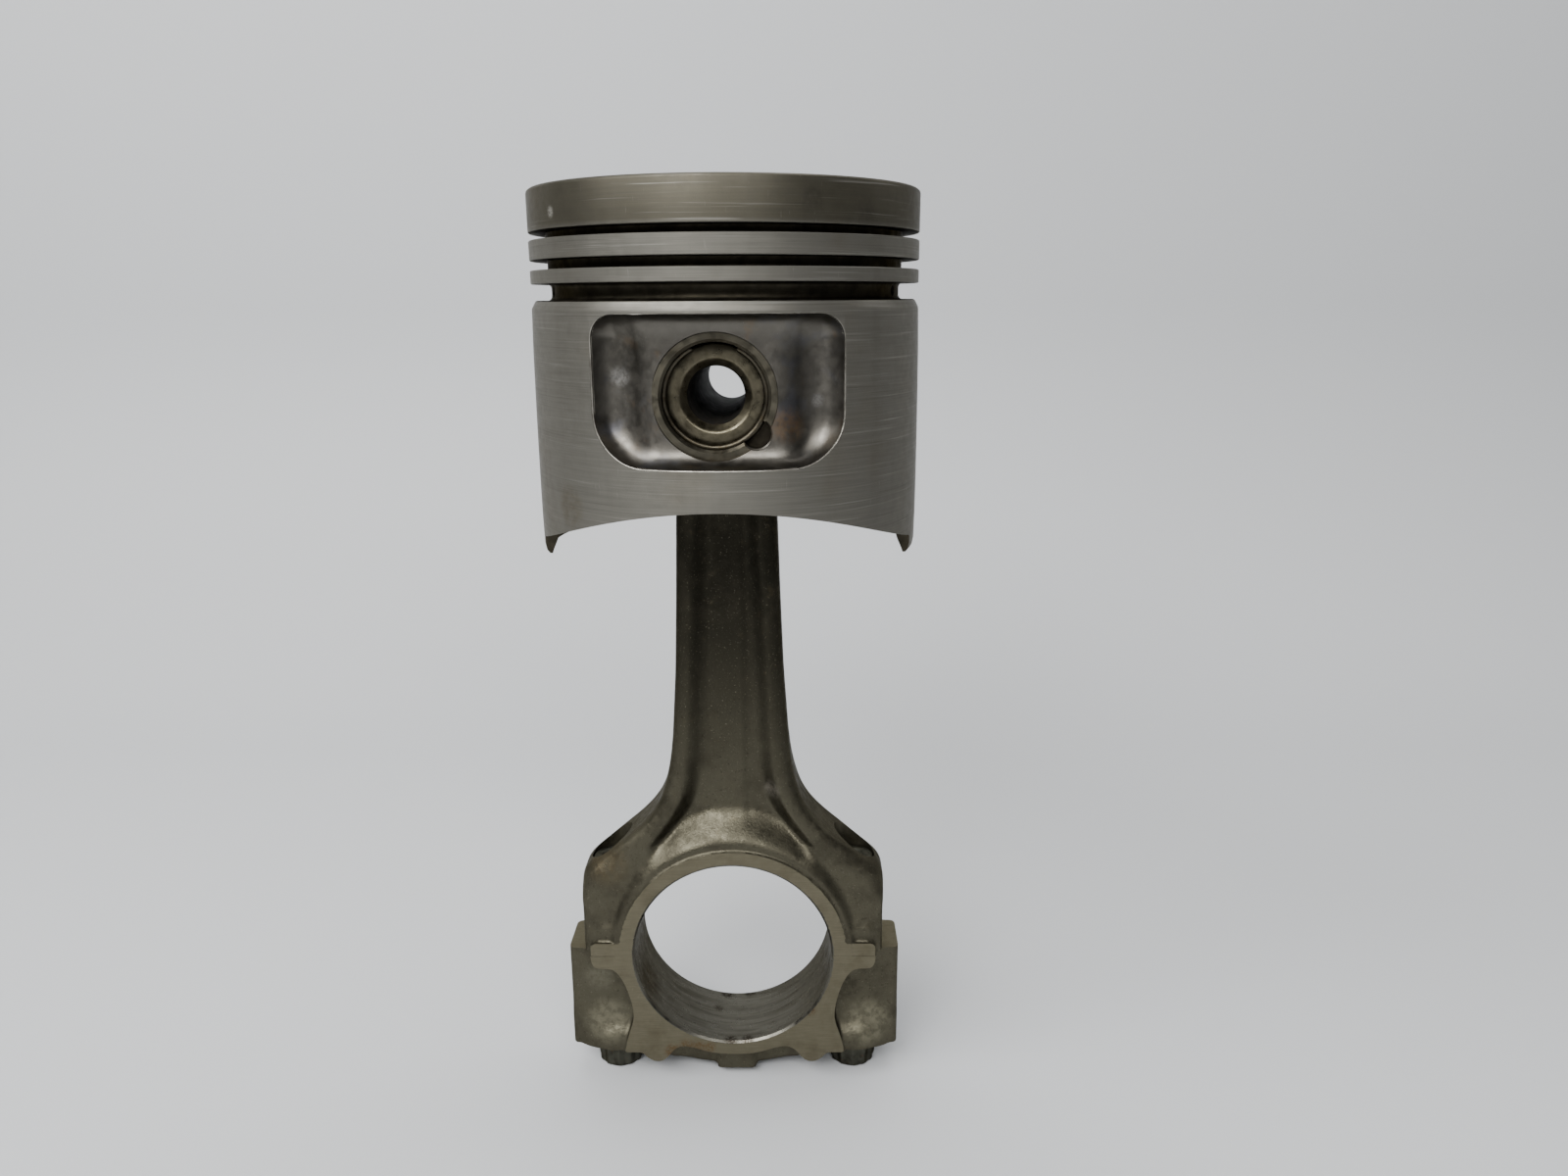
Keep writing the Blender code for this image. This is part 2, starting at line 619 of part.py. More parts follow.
def build_rod_cap():
    """Forged cap: bolt bosses each side, ground thrust faces and a balance pad."""
    half = list(CAP_BELLY)
    half += [(CAP_HALF_X, SEAT_Z), (CAP_HALF_X, CAP_TOP_Z), (0.0, CAP_TOP_Z)]
    body = moved(mirrored(half), ROD_X, BIG_END_Z)
    cap = extruded("rod_cap", body, CAP_BODY_HALF, PARTS, CAP_EDGE)
    face = extruded("cap_thrust_face", cap_face_outline(), BIG_END_HALF, CUTTERS)
    low = (ROD_X - PAD_HALF_X, -PAD_HALF_Y, BIG_END_Z + PAD_Z)
    high = (ROD_X + PAD_HALF_X, PAD_HALF_Y, BIG_END_Z + PAD_TOP_Z)
    pad = box("balance_pad", low, high, CUTTERS)
    join(cap, face, pad)
    for side, label in ((-1.0, "left"), (1.0, "right")):
        profile = [(0.0, COLLAR_NECK[1]), COLLAR_NECK, (COLLAR_R, COLLAR_FULL_Z),
                   (COLLAR_R, SEAT_Z), (0.0, SEAT_Z)]
        collar = turned("seat_collar_" + label, profile, CUTTERS, BORE_STEPS)
        collar.location = Vector((ROD_X + side * BOLT_X, 0.0, BIG_END_Z))
        join(cap, collar)
    low = (-FAR, -FAR, BIG_END_Z - GAP / 2.0)
    high = (FAR, FAR, BIG_END_Z + FAR)
    above = box("cap_parting_cutter", low, high, CUTTERS)
    cut(cap, above, big_bore_cutter("cap"))
    for side, label in ((-1.0, "left"), (1.0, "right")):
        cut(cap, bolt_hole_cutter(side, "cap_" + label))
    paint(cap, "forged steel", 0.5)


def build_bolt(side, label):
    under = HEAD_SEAT_Z + GAP
    profile = [
        (0.0, under + HEAD_HEIGHT),
        (HEAD_R - BOLT_EDGE, under + HEAD_HEIGHT),
        (HEAD_R, under + HEAD_HEIGHT - BOLT_EDGE),
        (HEAD_R, under),
        (BOLT_R, under),
        (BOLT_R, BOLT_END_Z + BOLT_EDGE),
        (BOLT_R - BOLT_EDGE, BOLT_END_Z),
        (0.0, BOLT_END_Z),
    ]
    bolt = turned("rod_bolt_" + label, profile, PARTS, SMALL_STEPS)
    bolt.location = Vector((ROD_X + side * BOLT_X, 0.0, BIG_END_Z))
    near = ROD_X + side * (BOLT_X - HEAD_FLAT)
    far = ROD_X + side * (BOLT_X - 2.0 * HEAD_R)
    low = (min(near, far), -HEAD_R - GAP, BIG_END_Z + under - GAP)
    high = (max(near, far), HEAD_R + GAP, BIG_END_Z + under + 2.0 * HEAD_HEIGHT)
    cut(bolt, box("head_flat_" + label, low, high, CUTTERS))
    paint(bolt, "black steel", 0.45)


def build_nut(side, label):
    """Twelve-point nut against the seat under the cap, standing on the floor face."""
    top = SEAT_Z - GAP
    bottom = -BIG_END_Z
    outline = []
    for i in range(2 * NUT_POINTS):
        radius = NUT_R if i % 2 == 0 else NUT_ROOT_R
        angle = math.pi * i / NUT_POINTS
        outline.append((radius * math.cos(angle), radius * math.sin(angle)))
    nut = extruded("rod_nut_" + label, outline, (top - bottom) / 2.0, PARTS, 0.0, False)
    nut.location = Vector((ROD_X + side * BOLT_X, 0.0, BIG_END_Z + (top + bottom) / 2.0))
    half = (top - bottom) / 2.0
    envelope = turned("nut_envelope_" + label, [
        (0.0, half + GAP), (NUT_R + GAP, half + GAP), (NUT_R + GAP, NUT_CHAMFER + GAP - half),
        (NUT_R - NUT_CHAMFER - GAP, -GAP - half), (0.0, -GAP - half)], CUTTERS, BORE_STEPS)
    envelope.location = nut.location
    hole = rod_of("nut_hole_" + label, BOLT_R + GAP, -FAR, FAR, CUTTERS, BORE_STEPS)
    hole.location = nut.location
    cut(nut, hole)
    combine(nut, envelope, 'INTERSECT')
    paint(nut, "black steel", 0.4)


clear_scene()
PARTS = new_collection("piston_and_rod", False)
CUTTERS = new_collection("cutters", True)
build_piston()
build_gudgeon_pin()
build_bush()
for clip_side, clip_label in ((-1.0, "front"), (1.0, "rear")):
    build_circlip(clip_side, clip_label)
build_con_rod()
build_rod_cap()
for bolt_side, bolt_label in ((-1.0, "left"), (1.0, "right")):
    build_bolt(bolt_side, bolt_label)
    build_nut(bolt_side, bolt_label)
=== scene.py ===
"""Looks of a used piston on its connecting rod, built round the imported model."""
import json
import math

import bmesh
import bpy
import numpy as np
from mathutils import Matrix, Vector


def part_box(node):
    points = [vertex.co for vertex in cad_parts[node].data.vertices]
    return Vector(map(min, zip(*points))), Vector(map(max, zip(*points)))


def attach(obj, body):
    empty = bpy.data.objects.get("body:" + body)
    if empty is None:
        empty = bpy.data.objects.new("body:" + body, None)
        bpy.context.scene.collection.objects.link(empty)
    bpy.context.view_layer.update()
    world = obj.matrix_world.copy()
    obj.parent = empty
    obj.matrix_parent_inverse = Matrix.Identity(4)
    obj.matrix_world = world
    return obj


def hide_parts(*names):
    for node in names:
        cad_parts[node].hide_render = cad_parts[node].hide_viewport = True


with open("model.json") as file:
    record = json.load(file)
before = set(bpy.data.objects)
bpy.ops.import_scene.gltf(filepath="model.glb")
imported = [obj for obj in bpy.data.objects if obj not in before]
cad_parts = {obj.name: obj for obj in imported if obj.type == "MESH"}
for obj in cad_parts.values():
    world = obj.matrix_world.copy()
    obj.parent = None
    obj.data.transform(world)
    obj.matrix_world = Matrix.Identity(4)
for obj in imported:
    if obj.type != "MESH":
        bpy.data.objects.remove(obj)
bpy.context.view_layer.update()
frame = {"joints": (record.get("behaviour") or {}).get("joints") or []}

MM = 0.001


def box_of(node):
    """Lowest and highest corner of a node's box in millimetres."""
    return [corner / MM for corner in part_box(node)]


# places and sizes that come from the frame, in millimetres
PIN_X, _, PIN_Z = (value / MM for value in frame["joints"][0]["pos_m"])
PISTON_LOW, PISTON_HIGH = box_of("piston")
ROD_LOW = box_of("con_rod")[0]
CAP_HIGH = box_of("rod_cap")[1]
NUT_LOW, NUT_HIGH = box_of("rod_nut_right")
BOLT_LOW, BOLT_HIGH = box_of("rod_bolt_right")
PIN_LOW, PIN_HIGH = box_of("gudgeon_pin")
CLIP_LOW, CLIP_HIGH = box_of("circlip_rear")
BUSH_LOW, BUSH_HIGH = box_of("small_end_bush")
BIG_END_Z = (ROD_LOW.z + CAP_HIGH.z) / 2.0
SMALL_END = PIN_Z - BIG_END_Z    # height of the gudgeon pin over the crankpin
HAIRLINE = 0.04                  # half the gap left between rod and cap

# piston, heights measured from the gudgeon pin
SKIRT_R = PISTON_HIGH.x
LAND_R = SKIRT_R - 0.4
CROWN_Z = PISTON_HIGH.z - PIN_Z
SKIRT_BOTTOM_Z = PISTON_LOW.z - PIN_Z
CROWN_UNDERSIDE_Z = 34.6
# top, bottom and floor radius of each ring groove
GROOVES = ((33.85, 32.08, 40.5), (27.88, 25.74, 40.5), (22.86, 19.3, 39.9))
POCKET_HALF = 26.15
POCKET_TOP_Z = 16.7
POCKET_BOTTOM_Z = -14.3
POCKET_FLOOR = 32.5
TOP_CORNER = 5.0                 # corner radii of the pocket
BOTTOM_CORNER = 11.0
RIM_R = 0.2                      # rounding of the pocket's rim
BOSS_FACE = 37.8
BOSS_HALF = 14.6
SPOT_FACE = 37.5
SPOT_FACE_R = 13.0
ARCH_R = 88.0
ARCH_EDGE = 0.8
ARCH_TOP_Z = -23.0
TONGUE_HALF = 14.0
DRAIN_R = 1.2
DRAIN_ANGLES = (-20.0, 0.0, 20.0)
PIN_BORE_R = (PIN_HIGH.z - PIN_LOW.z) / 2.0 + 0.3
CLIP_GROOVE = (34.3, 35.9)       # reach along the pin bore
OUTSIDE = 47.0                   # clear of the piston's skirt

# big end of the rod, measured from its centre
BORE_R = 25.8
THRUST_Y = 11.0
THRUST_R = 29.8
TAB_X = 37.2
TAB_Z = 3.7
BOLT_X = 32.0
BOLT_HOLE_R = 4.7
COUNTERBORE_R = 5.4
HEAD_SEAT_Z = 19.0
SEAT_Z = -29.0


# ---- meshes

def new_piece(name, data):
    piece = bpy.data.objects.new(name, data)
    bpy.context.scene.collection.objects.link(piece)
    return piece


def mesh_of(name, points, faces):
    """A mesh from an array of points in millimetres and an array of equal-sided faces."""
    mesh = bpy.data.meshes.new(name)
    sides = faces.shape[1]
    mesh.vertices.add(len(points))
    mesh.vertices.foreach_set("co", (points * MM).astype(np.float32).ravel())
    mesh.loops.add(faces.size)
    mesh.loops.foreach_set("vertex_index", faces.astype(np.int32).ravel())
    mesh.polygons.add(len(faces))
    mesh.polygons.foreach_set("loop_start", np.arange(0, faces.size, sides, dtype=np.int32))
    mesh.update(calc_edges=True)
    mesh.validate()
    return mesh


def slope_of(field, points, step=0.01):
    """Unit gradient of a field at some points."""
    slopes = [field(*(points + offset).T) - field(*(points - offset).T)
              for offset in step * np.eye(3)]
    slope = np.stack(slopes, axis=1)
    return slope / np.maximum(np.linalg.norm(slope, axis=1, keepdims=True), 1e-9)


def crossings(field, grid, low, cell, axis):
    """Where the surface crosses the grid lines along one axis: line ends, points, direction."""
    unit = np.zeros(3, int)
    unit[axis] = 1
    near = np.take(grid, np.arange(grid.shape[axis] - 1), axis)
    far = np.take(grid, np.arange(1, grid.shape[axis]), axis)
    ends = np.argwhere((near < 0.0) != (far < 0.0))
    a = near[tuple(ends.T)].astype(float)
    b = far[tuple(ends.T)].astype(float)
    rising = a < b
    left = np.zeros(len(ends))
    right = np.ones(len(ends))
    for _ in range(4):
        share = np.clip(a / (a - b), 0.05, 0.95)
        middle = left + (right - left) * share
        points = low + cell * (ends + middle[:, None] * unit)
        value = field(*points.T)
        same = (value < 0.0) == (a < 0.0)
        left, right = np.where(same, middle, left), np.where(same, right, middle)
        a, b = np.where(same, value, a), np.where(same, b, value)
    middle = left + (right - left) * a / (a - b)
    return ends, low + cell * (ends + middle[:, None] * unit), rising


def field_mesh(name, field, low, high, cell):
    """Surface where field(x, y, z) is zero, with the solid where it is negative.

    Each grid cell that the surface crosses gets one point, fitted to the planes
    that touch the surface round it, so edges and corners stay sharp.
    """
    low = np.array(low, float)
    count = np.ceil((np.array(high, float) - low) / cell).astype(int) + 1
    x, y, z = (low[a] + cell * np.arange(count[a]) for a in range(3))
    grid = field(x[:, None, None], y[None, :, None], z[None, None, :])
    grid = np.broadcast_to(grid, count).astype(np.float32)
    cells, points, slopes, quads = [], [], [], []
    for axis in range(3):
        ends, found, rising = crossings(field, grid, low, cell, axis)
        slope = slope_of(field, found)
        side_a, side_b = (axis + 1) % 3, (axis + 2) % 3
        around = []
        for back_a, back_b in ((0, 0), (1, 0), (1, 1), (0, 1)):
            corner = ends.copy()
            corner[:, side_a] -= back_a
            corner[:, side_b] -= back_b
            around.append(np.ravel_multi_index(corner.T, count))
            points.append(found)
            slopes.append(slope)
        cells.extend(around)
        quad = np.stack(around, axis=1)
        quads.append(np.where(rising[:, None], quad, quad[:, ::-1]))
    keys, owner = np.unique(np.concatenate(cells), return_inverse=True)
    owner = owner.ravel()
    points = np.concatenate(points)
    slopes = np.concatenate(slopes)
    total = len(keys)

    def summed(values):
        return np.stack([np.bincount(owner, v, total) for v in values.T], axis=1)

    weight = np.bincount(owner, minlength=total)[:, None]
    middle = summed(points) / weight
    reach = np.sum(slopes * (points - middle[owner]), axis=1)
    outer = summed((slopes[:, :, None] * slopes[:, None, :]).reshape(-1, 9)).reshape(-1, 3, 3)
    outer += 0.08 * np.eye(3)
    shift = np.linalg.solve(outer, summed(slopes * reach[:, None])[:, :, None])[:, :, 0]
    corner = low + cell * np.stack(np.unravel_index(keys, count), axis=1)
    fitted = np.clip(middle + shift, corner, corner + cell)
    quads = np.searchsorted(keys, np.concatenate(quads))
    return mesh_of(name, fitted, split_quads(field, fitted, quads))


def split_quads(field, points, quads):
    """Split each quad along the diagonal that lies closer to the surface."""
    def off(a, b):
        return np.abs(field(*((points[quads[:, a]] + points[quads[:, b]]) / 2.0).T))
    first = off(0, 2) <= off(1, 3)
    one = np.where(first[:, None], quads[:, [0, 1, 2]], quads[:, [0, 1, 3]])
    two = np.where(first[:, None], quads[:, [0, 2, 3]], quads[:, [1, 2, 3]])
    return np.concatenate([one, two])


def turned_mesh(name, profile, steps, closed=False):
    """Turn a (radius, height) profile about Z; it starts and ends on the axis or is closed."""
    angles = np.arange(steps) * 2.0 * math.pi / steps
    points, starts = [], []
    for r, z in profile:
        starts.append((len(points), r > 0.0))
        if r > 0.0:
            points.extend((r * math.cos(a), r * math.sin(a), z) for a in angles)
        else:
            points.append((0.0, 0.0, z))
    faces = []
    pairs = list(zip(starts, starts[1:]))
    if closed:
        pairs.append((starts[-1], starts[0]))
    for (one, one_round), (two, two_round) in pairs:
        for i in range(steps):
            j = (i + 1) % steps
            a, b = (one + i, one + j) if one_round else (one, one)
            c, d = (two + j, two + i) if two_round else (two, two)
            corners = list(dict.fromkeys((d, c, b, a)))
            if len(corners) > 2:
                faces.append(corners)
    return whole_mesh(name, points, faces)


def tube_faces(rows, sides, closed=True):
    """Four-sided faces between rings of points; closed joins the last ring to the first."""
    faces = []
    for row in range(rows if closed else rows - 1):
        one, two = row * sides, (row + 1) % rows * sides
        for i in range(sides):
            j = (i + 1) % sides
            faces.append((one + i, one + j, two + j, two + i))
    return faces


def whole_mesh(name, points, faces):
    """A closed mesh from points in millimetres, with its faces turned outward."""
    mesh = bpy.data.meshes.new(name)
    mesh.from_pydata([Vector(point) * MM for point in points], [], faces)
    fix = bmesh.new()
    fix.from_mesh(mesh)
    bmesh.ops.recalc_face_normals(fix, faces=fix.faces)
    fix.to_mesh(mesh)
    fix.free()
    return mesh


def along_y(mesh):
    mesh.transform(Matrix.Rotation(math.radians(90.0), 4, 'X'))
    return mesh


def facing(mesh, side):
    """Turn a mesh made for the front round to the rear, where side is 1."""
    if side > 0.0:
        mesh.transform(Matrix.Rotation(math.pi, 4, 'Z'))
    return mesh


def moved(mesh, x=0.0, y=0.0, z=0.0):
    mesh.transform(Matrix.Translation(Vector((x, y, z)) * MM))
    return mesh


def carve(piece, cutter_mesh, operation='DIFFERENCE'):
    """Boolean with a closed mesh, applied at once."""
    cutter = new_piece("cutter", cutter_mesh)
    step = piece.modifiers.new("carve", 'BOOLEAN')
    step.solver = 'MANIFOLD'
    step.operation = operation
    step.object = cutter
    bpy.context.view_layer.update()
    graph = bpy.context.evaluated_depsgraph_get()
    result = bpy.data.meshes.new_from_object(piece.evaluated_get(graph))
    piece.modifiers.clear()
    piece.data = result
    bpy.data.objects.remove(cutter, do_unlink=True)


def soften(piece, angle):
    """Smooth shading, with edges sharper than an angle left crisp."""
    piece.data.shade_smooth()
    piece.data.set_sharp_from_angle(angle=math.radians(angle))


# ---- fields

def smooth_max(a, b, k):
    h = np.maximum(k - np.abs(a - b), 0.0)
    return np.maximum(a, b) + h * h / (4.0 * k)


def smooth_min(a, b, k):
    h = np.maximum(k - np.abs(a - b), 0.0)
    return np.minimum(a, b) - h * h / (4.0 * k)


def ramp(value, start, end):
    """Smooth step from 0 at start to 1 at end."""
    t = np.clip((value - start) / (end - start), 0.0, 1.0)
    return t * t * (3.0 - 2.0 * t)


def box_distance(x, z, half_x, half_z, corner):
    """Signed distance to a rounded rectangle about the origin."""
    dx = np.abs(x) - (half_x - corner)
    dz = np.abs(z) - (half_z - corner)
    outside = np.hypot(np.maximum(dx, 0.0), np.maximum(dz, 0.0))
    return outside + np.minimum(np.maximum(dx, dz), 0.0) - corner


def outline_distance(x, z, outline):
    """Signed distance to a closed outline in the XZ plane."""
    x, z = np.broadcast_arrays(x, z)
    nearest = np.full(x.shape, 1e9)
    inside = np.zeros(x.shape, bool)
    for (ax, az), (bx, bz) in zip(outline, outline[1:] + outline[:1]):
        dx, dz = bx - ax, bz - az
        length = dx * dx + dz * dz
        t = np.clip(((x - ax) * dx + (z - az) * dz) / length, 0.0, 1.0)
        nearest = np.minimum(nearest, (x - ax - t * dx) ** 2 + (z - az - t * dz) ** 2)
        if az != bz:
            over = (az > z) != (bz > z)
            inside ^= over & (x < ax + (z - az) * dx / dz)
    return np.where(inside, -1.0, 1.0) * np.sqrt(nearest)


def through(points, count):
    """A smooth closed curve through some points, as an outline with short straight sides."""
    curve = []
    size = len(points)
    for i in range(size):
        p0, p1, p2, p3 = (np.array(points[(i + k) % size]) for k in (-1, 0, 1, 2))
        for k in range(count):
            t = k / count
            value = p1 + 0.5 * t * (p2 - p0 + t * (2 * p0 - 5 * p1 + 4 * p2 - p3
                                                   + t * (3 * (p1 - p2) + p3 - p0)))
            curve.append(tuple(float(v) for v in value))
    return curve


def both_ends(half):
    """A profile along an axis, from the half of it on the positive side."""
    return half + [(radius, -reach) for radius, reach in reversed(half)]


def arc(cx, cz, radius, start, end, count):
    angles = np.radians(np.linspace(start, end, count + 1))
    return [(cx + radius * math.cos(a), cz + radius * math.sin(a)) for a in angles]


# ---- forged rod and cap

# height and half width of the rod's outline, and of the crest line of its flanges
SHANK_SIDES = (
    (6.0, 39.2), (13.0, 39.2), (21.4, 39.7), (22.9, 38.9), (25.0, 36.0), (28.35, 31.5),
    (32.0, 26.6), (35.9, 22.4), (39.5, 19.5), (43.4, 17.6), (50.8, 15.7), (58.0, 14.8),
    (76.0, 13.6), (96.0, 12.85), (115.0, 12.3), (150.0, 11.0))
CREST_SIDES = (
    (30.0, 21.4), (34.0, 18.4), (38.0, 15.5), (43.0, 12.9), (50.0, 11.2), (61.0, 10.4),
    (78.0, 9.8), (98.0, 9.0), (112.0, 8.2), (130.0, 7.6))

# half thicknesses of the rod and cap
WEB_Y = 3.2
STRIP_RISE = 0.7                 # flat strip down the middle of the web
FLANGE_Y = 7.0
SHOULDER_Y = 8.6
HOOD_Y = 10.3                    # bulge over the big end's ring
HOOD_DROP = 7.5
HOOD_R = 30.7
PARTING_LUMP_Y = 9.6             # swelling above each tab
EYE_Y = 13.0
EYE_R = 17.0
EYE_BORE_R = 12.9                # the bush is pressed in here
CAP_Y = 8.0
COLLAR_R = 7.4                   # round each bolt hole of the cap, wider at the nut seat
COLLAR_FLARE = 3.3
CAP_BACK_Z = -34.8               # lowest part of the cap, between the nuts
STAMP_PAD_Z = -31.0


def along(table, z):
    """Smooth value read from a (height, value) table."""
    heights = np.array([row[0] for row in table])
    values = np.array([row[1] for row in table])
    fine = np.linspace(heights[0], heights[-1], 400)
    smooth = np.interp(fine, heights, values)
    kernel = np.hanning(31)
    padded = np.pad(smooth, 15, mode="reflect", reflect_type="odd")
    smooth = np.convolve(padded, kernel / kernel.sum(), mode="valid")
    return np.interp(z, fine, smooth)


def rod_height(x, z):
    """Half thickness of the rod's forging at a place on its outline."""
    side = np.abs(x)
    radius = np.hypot(x, z)
    crest = FLANGE_Y + (SHOULDER_Y - FLANGE_Y) * ramp(z, 60.0, 33.0)
    inward = along(CREST_SIDES, z) - side
    channel = ramp(inward, -0.6, 4.8) * ramp(z, 18.0, 40.0) * ramp(z, 127.0, 119.0)
    strip = STRIP_RISE * ramp(x, -5.0, -2.6) * ramp(x, 5.0, 2.6)
    height = crest - (crest - WEB_Y - strip) * channel
    upward = np.clip(z / np.maximum(radius, 1.0), 0.0, 1.0) ** 2
    start = HOOD_R + 0.4 * upward
    width = 3.4 + 5.4 * upward + 1.8 * ramp(side, 13.0, 1.0)
    hood = HOOD_Y - HOOD_DROP * ramp(radius, start, start + width)
    height = smooth_max(height, hood, 4.0)
    lump = box_distance(side - 33.3, z - 5.6, 2.4, 1.6, 1.0)
    lump = PARTING_LUMP_Y - 0.6 * np.maximum(lump, 0.0)
    return smooth_max(height, lump, 2.8)


def rod_forging(x, y, z):
    """The rod as it leaves the forge, from under the parting face to the small end."""
    low = np.maximum(z, SHANK_SIDES[0][0])
    sides = along(SHANK_SIDES, low)
    tilt = (along(SHANK_SIDES, low + 0.5) - along(SHANK_SIDES, low - 0.5))
    outline = (np.abs(x) - sides) / np.sqrt(1.0 + tilt * tilt)
    outline = np.maximum(outline, z - SMALL_END)
    rounding = 1.8 + 4.6 * ramp(z, 14.0, 21.0) - 2.8 * ramp(z, 24.0, 32.0)
    rounding = rounding + 0.9 * ramp(z, 38.0, 60.0)
    shank = smooth_max(np.abs(y) - rod_height(x, z), outline, rounding)
    eye = np.maximum(np.hypot(x, z - SMALL_END) - EYE_R, np.abs(y) - EYE_Y)
    body = smooth_min(shank, eye, 5.0)
    tab = box_distance(x, z, TAB_X, TAB_Z, 1.4)
    face = np.maximum(np.minimum(np.hypot(x, z) - THRUST_R, tab), np.abs(y) - THRUST_Y)
    return np.maximum(smooth_min(body, face, 1.0), -4.0 - z)


def cap_outline():
    """Ground thrust face of the cap: tabs, ring and the two lobes under the bore."""
    half = [(28.0, 3.0), (TAB_X - 1.2, 3.0), (TAB_X, 1.5), (TAB_X, -1.5),
            (TAB_X - 1.2, -TAB_Z + 0.2), (31.8, -4.0), (29.3, -7.0), (27.4, -12.5),
            (26.7, -18.3), (28.3, -24.1), (29.1, -27.8), (28.6, SEAT_Z), (25.0, -29.2),
            (23.4, -30.6), (21.6, -31.7), (19.5, -31.7), (17.7, -30.2), (16.1, -28.2),
            (13.9, -27.2), (11.0, -27.6), (7.6, -28.7), (3.5, -29.5)]
    mirrored = [(-x, z) for x, z in reversed(half)]
    return through(half + mirrored, 3)


CAP_FACE = cap_outline()


def cap_forging(x, y, z):
    """The cap as it leaves the forge, from above the parting face to the nut seats."""
    side = np.abs(x)
    bottom = CAP_BACK_Z + 1.6 * ramp(side, 5.0, 16.0) + 1.8 * ramp(side, 16.0, 22.0)
    bottom = bottom + (SEAT_Z + 31.2) * ramp(side, 21.5, 24.5)
    outline = smooth_max(side - (CAP_HIGH.x - PIN_X), bottom - z, 1.0)
    front = CAP_Y - 0.9 * ramp(side, 24.0, 30.0) * ramp(z, -21.0, -15.0)
    front = front - 0.4 * ramp(side, 36.0, 43.0)
    body = smooth_max(np.abs(y) - front, outline, 1.8)
    collar = np.hypot(side - BOLT_X, y) - COLLAR_R - COLLAR_FLARE * ramp(z, -18.0, -25.5)
    collar = smooth_max(collar, SEAT_Z - z, 0.8)
    body = smooth_min(body, collar, 2.0)
    pad = np.maximum(box_distance(x - 0.4, y, 5.0, 9.0, 1.0), np.abs(z - STAMP_PAD_Z) - 4.3)
    body = smooth_min(body, pad, 1.6)
    face = np.maximum(outline_distance(x, z, CAP_FACE), np.abs(y) - THRUST_Y)
    return np.maximum(smooth_min(body, face, 1.4), z - 3.0)


def big_bore():
    """Cutter for the crankpin bore, with a chamfer at each face."""
    chamfer = 0.5
    half = [(0.0, THRUST_Y + 9.0), (BORE_R + chamfer, THRUST_Y + 9.0),
            (BORE_R + chamfer, THRUST_Y), (BORE_R, THRUST_Y - chamfer)]
    return along_y(turned_mesh("bore", both_ends(half), 192))


def block(low, high):
    """A closed box mesh between two corners."""
    mesh = bpy.data.meshes.new("block")
    build = bmesh.new()
    bmesh.ops.create_cube(build, size=1.0)
    build.to_mesh(mesh)
    build.free()
    size = Vector(high) - Vector(low)
    mesh.transform(Matrix.Translation((Vector(high) + Vector(low)) * MM / 2.0)
                   @ Matrix.Diagonal((*(size * MM), 1.0)))
    return mesh


def bar(radius, low, high, steps=64):
    """A closed round bar along Z."""
    return turned_mesh("bar", [(0.0, high), (radius, high), (radius, low), (0.0, low)], steps)


def in_place(piece, body, node, x=PIN_X, z=BIG_END_Z, angle=38.0):
    """Move a piece to where the frame has its node and let it ride on that node's body."""
    moved(piece.data, x, 0.0, z)
    soften(piece, angle)
    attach(piece, body)
    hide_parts(node)
    return piece


def build_rod():
    mesh = field_mesh("forged_rod", rod_forging, (-43.0, -14.5, -5.5),
                      (43.0, 14.5, SMALL_END + 18.5), 0.48)
    rod = new_piece("forged_rod", mesh)
    carve(rod, block((-60.0, -30.0, -20.0), (60.0, 30.0, HAIRLINE)))
    carve(rod, big_bore())
    r = EYE_BORE_R
    eye = [(0.0, 20.0), (r + 0.6, 20.0), (r + 0.6, EYE_Y), (r, EYE_Y - 0.4)]
    carve(rod, moved(along_y(turned_mesh("eye", both_ends(eye), 128)), z=SMALL_END))
    for side in (-1.0, 1.0):
        carve(rod, moved(bar(COUNTERBORE_R, HEAD_SEAT_Z, 60.0), x=side * BOLT_X))
        carve(rod, moved(bar(BOLT_HOLE_R, -20.0, 40.0), x=side * BOLT_X))
    return in_place(rod, "rod", "con_rod")


def build_cap():
    mesh = field_mesh("forged_cap", cap_forging, (-45.5, -12.5, -37.0), (45.5, 12.5, 4.5), 0.45)
    cap = new_piece("forged_cap", mesh)
    carve(cap, block((-60.0, -30.0, -HAIRLINE), (60.0, 30.0, 20.0)))
    carve(cap, big_bore())
    for side in (-1.0, 1.0):
        carve(cap, moved(bar(BOLT_HOLE_R, -60.0, 20.0), x=side * BOLT_X))
    return in_place(cap, "rod", "rod_cap")


# ---- piston

# heights in this part are measured from the gudgeon pin

